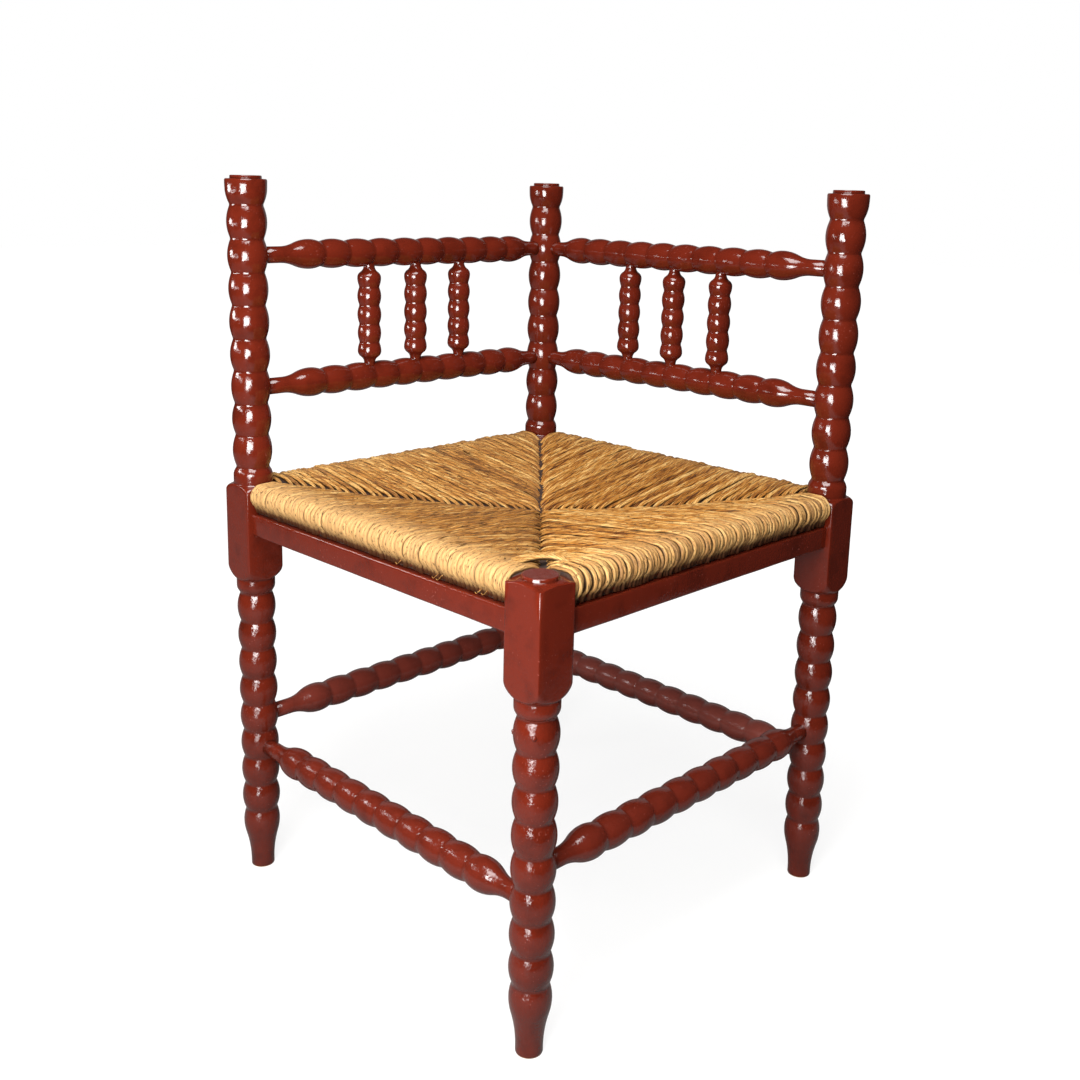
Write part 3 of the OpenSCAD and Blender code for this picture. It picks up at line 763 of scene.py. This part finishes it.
class CHAIR_OT_spindles(bpy.types.Operator):
    """Builds the six spindles between the back rails"""

    bl_idname = "chair.spindles"
    bl_label = "Spindles"

    def execute(self, context):
        sizes = context.scene.chair_turning
        bead, neck = sizes.spindle_bead, sizes.spindle_neck
        for number, node in enumerate(SPINDLES):
            length = width(node).z
            # The two ends take up one bead between them
            pitch = (length - 2 * (SPINDLE["tenon"] + SPINDLE["taper"])) / (SPINDLE_BEADS + 1)
            half = SPINDLE_BEADS * pitch / 2
            end = tapered_end(
                pitch / 2, SPINDLE["taper"] - SPINDLE["plain"],
                SPINDLE["plain"] + SPINDLE["tenon"], bead, neck, SPINDLE["end"])
            rng = random.Random(SEEDS["spindles"] + number)
            beads = bead_row(-half, pitch, SPINDLE_BEADS, bead, neck, rng)
            outline = [(0.0, -length / 2, 0.0), *hung(end, -half)[:-1], *beads,
                       *moved(end, half), (0.0, length / 2, 0.0)]
            builder = turned(outline, SPINDLE["segments"])
            bmesh.ops.translate(builder, vec=middle(node), verts=builder.verts)
            place_wood(builder, "beaded_", node)
        return {"FINISHED"}


# Aprons and seat rails

APRON_EDGE = 0.0022
# Planed and thickly painted boards are out of true by about 0.2 mm
APRON_WAVE = 0.0002
# Cuts that give a long board enough vertices to be a little out of true
APRON_CUTS = 48


class CHAIR_OT_aprons(bpy.types.Operator):
    """Builds the four apron boards with paint-softened edges"""

    bl_idname = "chair.aprons"
    bl_label = "Aprons"

    def execute(self, context):
        # noise_vector follows the clock until it has a seed
        noise.seed_set(SEEDS["aprons"])
        for number, side in enumerate(SIDES):
            node = side + "_apron"
            size = width(node)
            builder = bmesh.new()
            bmesh.ops.create_cube(builder, size=1.0)
            bmesh.ops.scale(builder, vec=size, verts=builder.verts)
            long_way = 0 if size.x > size.y else 1
            along = [edge for edge in builder.edges
                     if abs((edge.verts[0].co - edge.verts[1].co)[long_way]) > size[long_way] / 2]
            bmesh.ops.bevel(
                builder, geom=along, offset=APRON_EDGE, offset_type="OFFSET", segments=5,
                profile=0.5, affect="EDGES", material=-1)
            axis = Vector((1, 0, 0)) if long_way == 0 else Vector((0, 1, 0))
            for step in range(1 - APRON_CUTS // 2, APRON_CUTS // 2):
                bmesh.ops.bisect_plane(
                    builder, geom=builder.verts[:] + builder.edges[:] + builder.faces[:],
                    plane_co=axis * step * size[long_way] / APRON_CUTS, plane_no=axis)
            bmesh.ops.translate(builder, vec=middle(node), verts=builder.verts)
            for vert in builder.verts:
                place = vert.co * 28 + Vector((number, 0, 0))
                vert.co += noise.noise_vector(place) * APRON_WAVE
            bmesh.ops.recalc_face_normals(builder, faces=builder.faces)
            place_wood(builder, "board_", node)
        return {"FINISHED"}


class CHAIR_OT_seat_rails(bpy.types.Operator):
    """Paints the plain seat rails that the rush wraps"""

    bl_idname = "chair.seat_rails"
    bl_label = "Seat rails"

    def execute(self, context):
        for side in SIDES:
            for material_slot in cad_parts[side + "_seat_rail"].material_slots:
                material_slot.material = gloss_enamel()
        return {"FINISHED"}


# Rush seat. Sizes follow the rush form in the CAD part.

RAIL_HALF_W = width("back_left_seat_rail").y / 2
CREST_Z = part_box("rush_seat")[1].z
EDGE_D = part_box("rush_seat")[1].x
ROLL_R = 0.013
ROLL_D = EDGE_D - ROLL_R
CREST_D = ROLL_D - 0.014
SAG = 0.026
MIDDLE_Z = CREST_Z - SAG
FLOOR_Z = middle("back_left_seat_rail").z - width("back_left_seat_rail").z / 2 - 0.004
MIDDLE_FLOOR_Z = MIDDLE_Z - 0.020
TUCK_D = HALF_PLAN + RAIL_HALF_W + 0.002
BLOCK_FACE = HALF_PLAN - BLOCK["half"]
# Steps round the rolled edge and the angle of each, in degrees
ROLL_STEPS = 14
ROLL_ANGLE = 10.2
# Stain and painted shade start after this step of the roll and grow by this share with each one
STAIN_AND_SHADE_STEP = 10
STAIN_AND_SHADE_GROWTH = 0.2
# Distance between a cord's rings under the seat, where they are hardly seen
UNDER_STEP = 0.009
# A stain and shade value over this much marks the underside, whose stain and painted shade are the
# same in every section
UNDERSIDE = 0.9

# How each section is wound. dive and past have one value for each of its two seams, that at
# negative lateral positions first. dive is 1 where a cord dips under the neighbour and 0 where
# it rides over it, past is how far it crosses the seam, and finger how much it thins there.
# loose is how uneven the cords are, fine their pitch as a share of the usual one, full how
# much of their pitch they fill, tone how light they are, the wear field how rubbed they are,
# the dirt field how far the stain and painted shade of the underside show below the roll, the
# pale field how much more the roll is rubbed and lit by painted light, and the groove field
# how dark they are between the cords with dirt and painted shade.
Section = collections.namedtuple(
    "Section", "turn dive past finger loose fine full tone worn dirt pale groove")
SECTIONS = {
    "back_right": Section(
        0, (1.0, 0.8), (0.002, 0.003), (0.1, 0.2), loose=1.1, fine=0.95, full=0.97,
        tone=-0.23, worn=0.0, dirt=0.9, pale=0.2, groove=0.95),
    "back_left": Section(
        1, (0.8, 1.3), (0.003, 0.001), (0.1, 0.5), loose=1.2, fine=1.0, full=0.95,
        tone=-0.23, worn=0.1, dirt=0.9, pale=0.2, groove=0.95),
    "front_left": Section(
        2, (0.25, 0.5), (0.006, 0.004), (0.0, 0.1), loose=0.8, fine=0.9, full=1.05,
        tone=-0.24, worn=0.1, dirt=0.35, pale=0.62, groove=0.8),
    "front_right": Section(
        3, (0.5, 0.2), (0.004, 0.008), (0.1, 0.05), loose=1.3, fine=0.74, full=0.95,
        tone=-0.1, worn=0.0, dirt=0.5, pale=0.45, groove=1.0),
}

SLIVERS = 9
STRAND = {"steps": 6, "sides": 8, "slant": 0.4, "groove": 0.85, "worn": 0.15}

# Frayed leaves on the front left edge: place along Y and how far they stand off
WISPS = ((-0.057, 0.0020), (-0.109, 0.0030), (-0.115, 0.0036), (-0.165, 0.0028),
         (-0.172, 0.0018))
WISP_SIZE = (0.0007, 0.0005)
WISP_TINT = -0.1

# Cords that cross over the front corner behind the post, with their tints
KNOT = (
    (((-0.2330, -0.1850, 0.4360), (-0.2220, -0.1810, 0.4432), (-0.2050, -0.1795, 0.4460),
      (-0.1870, -0.1805, 0.4467), (-0.1740, -0.1880, 0.4462), (-0.1690, -0.2020, 0.4442),
      (-0.1690, -0.2200, 0.4370)), 0.10),
    (((-0.2300, -0.1795, 0.4382), (-0.2160, -0.1755, 0.4447), (-0.1980, -0.1745, 0.4464),
      (-0.1820, -0.1765, 0.4468), (-0.1690, -0.1860, 0.4458), (-0.1645, -0.2000, 0.4437),
      (-0.1645, -0.2190, 0.4370)), 0.0),
    (((-0.2260, -0.1730, 0.4402), (-0.2100, -0.1695, 0.4444), (-0.1920, -0.1695, 0.4458),
      (-0.1750, -0.1735, 0.4458), (-0.1640, -0.1840, 0.4446), (-0.1600, -0.1990, 0.4422),
      (-0.1600, -0.2170, 0.4370)), 0.05),
)
KNOT_SIZE = (0.0052, 0.0050)
# Cords of the front right section nearer the post than this start short of the seam
KNOT_REACH = -0.150
KNOT_GAP = 0.005

Ring = collections.namedtuple("Ring", "middle side out broad thick along tint worn stain")


def top_height(dist, lateral):
    """Height of the seat's top: a bowl, fuller in the middle of each section."""
    share = min(1.0, dist / CREST_D)
    return MIDDLE_Z + SAG * share ** (1.15 + 0.55 * abs(lateral) ** 3)


def under_height(dist):
    """Height of the seat's underside."""
    share = min(1.0, dist / (HALF_PLAN - 2 * RAIL_HALF_W))
    return MIDDLE_FLOOR_Z + (FLOOR_Z - MIDDLE_FLOOR_Z) * share ** 1.3


def cord_route(across, depth, dive, past=0.0):
    """Points (distance out, height, stain and painted shade, roll) of a cord over the rail and back
    under it.

    across is its place along the rail, depth how far its middle lies inside the surface, and
    past how far it goes beyond the seam. roll is 1 on the rolled edge and 0 on the top."""
    seam = abs(across)
    start = max(0.0, seam - past)
    run = max(CREST_D - start, 0.004)
    count = max(3, int(run / bpy.context.scene.chair_rush.cord_step))
    points = []
    for k in range(count + 1):
        dist = start + run * k / count
        lateral = min(1.0, seam / max(dist, 0.001))
        # Cords dip by 2.5 mm or more into the seam over its first 18 mm
        dip = (0.0025 + 0.0062 * dive) * max(0.0, 1 - (dist - start) / 0.018) ** 2
        roll = max(0.0, min(1.0, (dist - CREST_D + 0.03) / 0.05))
        points.append((dist, top_height(dist, lateral) - depth - dip, 0.0, roll))
    if seam > CREST_D:
        points = points[:1]
    for step in range(1, ROLL_STEPS + 1):
        angle = math.radians(90 - step * ROLL_ANGLE)
        points.append((
            ROLL_D + (ROLL_R - depth) * math.cos(angle),
            CREST_Z - ROLL_R + (ROLL_R - depth) * math.sin(angle),
            STAIN_AND_SHADE_GROWTH * max(0, step - STAIN_AND_SHADE_STEP), 1.0))
    inner = TUCK_D - depth
    points += [(inner, FLOOR_Z + 0.0065, 0.95, 1.0),
               (inner - 0.0004, FLOOR_Z + depth + 0.0008, 1.0, 1.0),
               (inner - 0.003, FLOOR_Z + depth, 1.0, 1.0)]
    start = inner - 0.006
    run = start - max(seam, 0.004)
    if run > 0.004:
        count = max(2, int(run / UNDER_STEP))
        for k in range(count + 1):
            dist = start - run * k / count
            points.append((dist, under_height(dist) + depth, 1.0, 0.0))
    return points


def side_point(turn, dist, across, height):
    """A place on one side of the square, turned to where it belongs."""
    x, y = dist, across
    for _ in range(turn):
        x, y = -y, x
    return Vector((x, y, height))


def tangent_at(line, i):
    """Direction of a line at one of its points."""
    return (line[min(len(line) - 1, i + 1)] - line[max(0, i - 1)]).normalized()


def end_share(i, last, rings):
    """Share of a cord's size at a ring. It shrinks to nothing over a few rings at each end."""
    return min(1.0, i / rings, (last - i) / rings)


def skin_cord(builder, layers, rings, seed, groove, place, twist, slant, sides):
    """Rolls a grid into a tube through its rings. Both ends shrink to a point.

    broad and thick are half sizes along side and out, and place puts a point in its section."""
    last = len(rings) - 1
    verts = bmesh.ops.create_grid(
        builder, x_segments=last, y_segments=sides, size=0.5, calc_uvs=True)["verts"]
    girth = math.pi * (rings[last // 2].broad + rings[last // 2].thick)
    for vert in verts:
        ring = rings[round((vert.co.x + 0.5) * last)]
        share = round((vert.co.y + 0.5) * sides) / sides
        angle = 2 * math.pi * share
        # Two strands twisted together swell the cord by turns, once in about 24 mm
        ply = 1 + twist * math.cos(2 * angle + ring.along / 0.024 * 2 * math.pi + seed)
        vert.co = place(ring.middle + ring.side * (ring.broad * ply * math.cos(angle))
                        + ring.out * (ring.thick * ply * math.sin(angle)))
        vert[layers["cord_tint"]] = ring.tint
        vert[layers["worn"]] = ring.worn
        vert[layers["stain"]] = ring.stain
        # The cord's sides and inner half darken towards the grooves, as dirt and painted shade
        vert[layers["groove"]] = groove * (1 - max(0.0, math.sin(angle))) ** 2.2
        for loop in vert.link_loops:
            loop[layers["uv"]].uv = (ring.along + seed, girth * share + slant * ring.along)
    bmesh.ops.remove_doubles(builder, verts=verts, dist=2e-6)


def wind_cord(builder, layers, section, across, rng):
    """Adds one rush cord that runs from its seam over the rail and back."""
    rush = bpy.context.scene.chair_rush
    style = SECTIONS[section]
    seam_side = 0 if across < 0 else 1
    loose = style.loose
    thick = rush.cord_height * rng.uniform(0.92, 1.08) * (0.5 + 0.5 * style.fine)
    broad = rush.cord_pitch * style.fine * rng.uniform(0.93, 1.07) * style.full
    lift = rng.uniform(-0.0007, 0.0010) * loose
    past = style.past[seam_side] * rng.uniform(0.3, 1.3)
    if section == "front_right" and across < KNOT_REACH:
        past = -KNOT_GAP
    route = cord_route(
        across, thick / 2 - lift, style.dive[seam_side] * rng.uniform(0.7, 1.15), past)
    line = [Vector((dist, across, height)) for dist, height, _, _ in route]
    seed = rng.uniform(0, 100)
    tint = rng.gauss(0.0, 0.08 + 0.075 * loose) + style.tone
    side = Vector((0, 1, 0))
    rings, at = [], 0.0

    def wander(amount, waves, shift):
        """Unevenness along the cord, with so many waves in a metre."""
        return amount * loose * noise.noise(Vector((at * waves, seed + shift, 0)))

    for i, (point, (_, _, stain, roll)) in enumerate(zip(line, route)):
        at += (point - line[max(0, i - 1)]).length
        out = tangent_at(line, i).cross(side).normalized()
        size = end_share(i, len(line) - 1, 1.5)
        size *= 1 - style.finger[seam_side] * max(0.0, 1 - at / 0.035)
        size *= 1 + wander(0.10, 90, 0)
        # On the rolled edge the tint is lighter and the worn colour stronger, as wear and painted
        # light. There the stain and painted shade are scaled by the section's share; underneath they
        # are not.
        rings.append(Ring(
            point + side * wander(0.0010, 28, 9) + out * wander(0.0009, 45, 17), side, out,
            broad / 2 * size, thick / 2 * size, at, tint + 0.04 * roll,
            style.worn + style.pale * roll, stain if stain > UNDERSIDE else stain * style.dirt))
    limit = BLOCK_FACE - 0.0002

    def place(point):
        return side_point(style.turn, point.x, max(-limit, min(limit, point.y)), point.z)

    skin_cord(builder, layers, rings, seed, style.groove, place, 0.06 * loose,
              rng.uniform(0.08, 0.26), rush.cord_sides)


def lay_strand(builder, layers, corners, broad, thick, tint, rng):
    """Adds a loose strand on a smooth curve through its corners, which are world places."""
    points = [Vector(c) for c in corners]
    points = [2 * points[0] - points[1]] + points + [2 * points[-1] - points[-2]]
    line = []
    for a, b, c, d in zip(points, points[1:], points[2:], points[3:]):
        for k in range(STRAND["steps"]):
            t = k / STRAND["steps"]
            line.append(0.5 * (2 * b + (c - a) * t + (2 * a - 5 * b + 4 * c - d) * t ** 2
                               + (3 * b - a - 3 * c + d) * t ** 3))
    line.append(points[-2])
    rings, at = [], 0.0
    for i, point in enumerate(line):
        at += (point - line[max(0, i - 1)]).length
        tangent = tangent_at(line, i)
        side = tangent.cross(Vector((0, 0, 1))).normalized()
        size = end_share(i, len(line) - 1, 2)
        rings.append(Ring(point, side, side.cross(tangent), broad / 2 * size,
                          thick / 2 * size, at, tint, STRAND["worn"], 0.0))
    skin_cord(builder, layers, rings, rng.uniform(0, 100), STRAND["groove"], Vector, 0.0,
              STRAND["slant"], STRAND["sides"])


def add_sliver(builder, layers, style, rng):
    """Adds a split leaf that has sprung out of the cords."""
    dist = rng.uniform(0.02, ROLL_D - 0.016)
    across = rng.uniform(-0.8, 0.8) * min(dist, BLOCK_FACE - 0.02)
    length = rng.uniform(0.008, 0.022)
    turn = rng.gauss(0.0, 0.25)
    corners = []
    for k in range(4):
        out = dist + length * k / 3 * math.cos(turn)
        aside = across + length * k / 3 * math.sin(turn) + rng.uniform(-0.0006, 0.0006)
        lateral = min(1.0, abs(aside) / out)
        height = top_height(out, lateral) + 0.0005 * math.sin(math.pi * k / 3)
        corners.append(side_point(style.turn, out, aside, height))
    lay_strand(builder, layers, corners, rng.uniform(0.0009, 0.0016), 0.0006,
               rng.uniform(-0.5, 0.0) + style.tone, rng)


def wisp_corners(y, off):
    """Corners of a frayed leaf that curls down from the front left roll."""
    return [(-EDGE_D + 0.0015, y, 0.4265), (-EDGE_D - off * 0.4, y + 0.0008, 0.4240),
            (-EDGE_D - off * 0.9, y + 0.0028, 0.4225 - off * 0.3),
            (-EDGE_D - off, y + 0.0050, 0.4238 - off * 0.3)]


CORE_STEPS = 24


def core_point(style, ring, share, inset):
    """A point of the core. share runs from one seam to the other."""
    dist, height, stain, _ = ring
    if stain > UNDERSIDE:
        # Underneath, the core fills the grooves, so that no floor shows along them
        height -= inset
    if height > MIDDLE_Z - 0.004 and dist < CREST_D:
        height = top_height(dist, abs(share)) - inset - 0.0012
    return side_point(style.turn, dist, share * min(dist, BLOCK_FACE - 0.0006), height)


def line_core():
    """Adds a closed skin halfway into the cords, dark as painted shade, so no light comes through the
    seat.
    """
    builder = bmesh.new()
    inset = bpy.context.scene.chair_rush.cord_height * 0.5
    route = cord_route(0.0, inset, 0.5)
    last = len(route) - 1
    for style in SECTIONS.values():
        grid = bmesh.ops.create_grid(
            builder, x_segments=last, y_segments=2 * CORE_STEPS, size=0.5)
        for vert in grid["verts"]:
            ring = route[round((vert.co.x + 0.5) * last)]
            vert.co = core_point(style, ring, vert.co.y * 2, inset)
    bmesh.ops.remove_doubles(builder, verts=builder.verts, dist=0.0004)
    bmesh.ops.holes_fill(builder, edges=builder.edges, sides=0)
    bmesh.ops.recalc_face_normals(builder, faces=builder.faces)
    core = place_piece(builder, "rush_core", dark_rush(), ["rush_seat", "seat_padding"])


class CHAIR_OT_rush(bpy.types.Operator):
    """Winds the four sections of the rush seat over a dark core"""

    bl_idname = "chair.rush"
    bl_label = "Rush seat"

    def execute(self, context):
        pitch = context.scene.chair_rush.cord_pitch
        reach = BLOCK_FACE - pitch / 2
        for number, (section, style) in enumerate(SECTIONS.items()):
            rng = random.Random(SEEDS["rush"] + number)
            builder = bmesh.new()
            layers = {name: builder.verts.layers.float.new(name)
                      for name in ("cord_tint", "worn", "stain", "groove")}
            layers["uv"] = builder.loops.layers.uv.new("UVMap")
            last = int(2 * reach / (pitch * style.fine))
            for i in range(last + 1):
                across = -reach + 2 * reach * i / last
                across += rng.uniform(-0.0005, 0.0005) * style.loose
                wind_cord(builder, layers, section, across, rng)
            for _ in range(SLIVERS):
                add_sliver(builder, layers, style, rng)
            if section == "front_left":
                for y, off in WISPS:
                    corners = wisp_corners(y, off)
                    lay_strand(builder, layers, corners, *WISP_SIZE, WISP_TINT, rng)
                for corners, tint in KNOT:
                    lay_strand(builder, layers, corners, *KNOT_SIZE, tint, rng)
            bmesh.ops.recalc_face_normals(builder, faces=builder.faces)
            place_piece(builder, "rush_" + section, rush_leaf(), ["rush_seat"])
        line_core()
        return {"FINISHED"}


# Studio

# Each soft box: where it stands, what it is aimed at, its two sizes and the power's setting
SOFT_BOXES = {
    "key_soft_box": ((-0.84, -0.40, 0.64), (-0.05, 0.0, 0.50), (0.50, 0.34), "key_power"),
    "low_soft_box": ((-1.70, -0.91, 0.27), (0.0, 0.0, 0.2), (0.52, 0.23), "low_power"),
    "edge_strip": ((-0.66, 0.33, 0.655), (-0.19, 0.0, 0.41), (0.32, 0.02), "edge_power"),
    "side_strip": ((-0.64, 0.61, 0.705), (0.0, 0.1, 0.6), (0.22, 0.10), "side_power"),
    "overhead": ((-0.7, -0.5, 2.0), (0.0, 0.0, 0.4), (1.2, 1.2), "top_power"),
    "backdrop_glow": ((1.5, 1.5, 1.0), (0.0, 0.0, 0.5), (3.0, 1.6), "backdrop_power"),
}
# Each floor: half its side, its middle and whether the gloss of the paint shows it
FLOORS = {
    "near_floor": (1.4, (-0.65, 0.65, 0.0), True),
    "far_floor": (12.0, (0.0, 0.0, -0.0004), False),
}
WHITE = (1.0, 1.0, 1.0, 1.0)
ROOM_IN_GLOSS = 0.03

# The photograph's camera, fitted to the posts, rails and stretchers. Its focal length and
# optical centre are in pixels of the photo, and its angles in degrees.
SENSOR_WIDTH = 36.0
PHOTO_SIDE = 1080
FOCAL_LENGTH = 1234
OPTICAL_CENTRE = (546.2, 450.8)
HEADING, DOWN, ROLL = 44.46, 12.11, 1.4366


def soft_box(name, location, target, size, power):
    """A rectangular light that the camera can't see."""
    data = bpy.data.lights.new(name, "AREA")
    data.shape = "RECTANGLE"
    data.size, data.size_y = size
    data.energy = power
    light = add_object(name, data)
    light.location = location
    aim = Vector(target) - Vector(location)
    light.rotation_euler = aim.to_track_quat("-Z", "Y").to_euler()
    light.visible_camera = False


def studio_paper():
    """White paper that the camera sees bright and the chair is hardly lit by."""
    material, tree, shader = new_material("matt_studio_paper")
    place = add_node(tree, "TexCoord", "Object")
    away = add_node(tree, "VectorMath", "Value", {"operation": "LENGTH"}, {0: place})
    bright = remap(tree, away, 0.35, 1.6, 0.82, 1.0)
    thrown = remap(tree, away, 0.5, 1.4, 0.02, 0.10)
    seen = add_node(tree, "LightPath", "Is Camera Ray")
    set_inputs(shader, {
        "Base Color": linear("#727170"), "Roughness": 0.85, "Emission Color": WHITE,
        "Emission Strength": blend(tree, seen, thrown, bright, kind="FLOAT")})
    return material


def lay_floor(material, name, reach, centre, in_gloss):
    """A square of floor."""
    builder = bmesh.new()
    bmesh.ops.create_grid(builder, x_segments=8, y_segments=8, size=reach)
    bmesh.ops.translate(builder, vec=centre, verts=builder.verts)
    floor = add_mesh(builder, name, material)
    floor.visible_glossy = in_gloss


def light_room(strength):
    """White behind the chair, grey where it lights it, and dark in the gloss."""
    world = bpy.data.worlds.new("studio_room")
    world.use_nodes = True
    bpy.context.scene.world = world
    tree = world.node_tree
    seen = add_node(tree, "LightPath", "Is Camera Ray")
    lit = reckon(tree, "MULTIPLY_ADD", seen.node.outputs["Is Diffuse Ray"], strength, seen)
    set_inputs(tree.nodes["Background"], {
        "Color": WHITE, "Strength": reckon(tree, "MAXIMUM", lit, ROOM_IN_GLOSS)})


def add_camera(location):
    """The photograph's camera."""
    heading, down, roll = (math.radians(a) for a in (HEADING, DOWN, ROLL))
    forward = Vector((math.cos(heading) * math.cos(down),
                      math.sin(heading) * math.cos(down), -math.sin(down)))
    level = Vector((math.sin(heading), -math.cos(heading), 0))
    up = level.cross(forward)
    right = level * math.cos(roll) + up * math.sin(roll)
    over = up * math.cos(roll) - level * math.sin(roll)
    data = bpy.data.cameras.new("photo_camera")
    data.sensor_width = SENSOR_WIDTH
    data.lens = SENSOR_WIDTH * FOCAL_LENGTH / PHOTO_SIDE
    data.shift_x = (PHOTO_SIDE / 2 - OPTICAL_CENTRE[0]) / PHOTO_SIDE
    data.shift_y = (OPTICAL_CENTRE[1] - PHOTO_SIDE / 2) / PHOTO_SIDE
    data.clip_end = 60.0
    camera = add_object("photo_camera", data)
    camera.matrix_world = Matrix.Translation(location) @ Matrix(
        (right, over, -forward)).transposed().to_4x4()
    bpy.context.scene.camera = camera


class CHAIR_OT_stage(bpy.types.Operator):
    """Sets the floor, the soft lights and the camera"""

    bl_idname = "chair.stage"
    bl_label = "Studio"

    def execute(self, context):
        settings = context.scene.chair_stage
        paper = studio_paper()
        for name, floor in FLOORS.items():
            lay_floor(paper, name, *floor)
        light_room(settings.room)
        for name, (location, target, size, power) in SOFT_BOXES.items():
            soft_box(name, location, target, size, getattr(settings, power))
        context.scene.view_settings.view_transform = "Standard"
        add_camera(settings.camera_at)
        return {"FINISHED"}


class CHAIR_PT_panel(bpy.types.Panel):
    """Lists the pieces of the corner chair"""

    bl_label = "Corner Chair"
    bl_idname = "CHAIR_PT_panel"
    bl_space_type = "VIEW_3D"
    bl_region_type = "UI"
    bl_category = "Corner Chair"

    def draw(self, context):
        for name, group in GROUPS.items():
            box = self.layout.box()
            for setting in group.__annotations__:
                box.prop(getattr(context.scene, name), setting)
        for step in STEPS:
            self.layout.operator(step)


GROUPS = {"chair_turning": ChairTurning, "chair_paint": ChairPaint, "chair_rush": ChairRush,
          "chair_stage": ChairStage}
STEPS = (
    "chair.posts", "chair.back_rails", "chair.stretchers", "chair.spindles", "chair.aprons",
    "chair.seat_rails", "chair.rush", "chair.stage")
CLASSES = (
    *GROUPS.values(), CHAIR_OT_posts, CHAIR_OT_back_rails, CHAIR_OT_stretchers,
    CHAIR_OT_spindles, CHAIR_OT_aprons, CHAIR_OT_seat_rails, CHAIR_OT_rush, CHAIR_OT_stage,
    CHAIR_PT_panel)


def register():
    for cls in CLASSES:
        bpy.utils.register_class(cls)
    for name, group in GROUPS.items():
        setattr(bpy.types.Scene, name, PointerProperty(type=group))


def unregister():
    for name in GROUPS:
        delattr(bpy.types.Scene, name)
    for cls in reversed(CLASSES):
        bpy.utils.unregister_class(cls)


def main():
    """Builds every piece in order."""
    register()
    for step in STEPS:
        group, name = step.split(".")
        getattr(getattr(bpy.ops, group), name)()


if __name__ == "__main__":
    main()
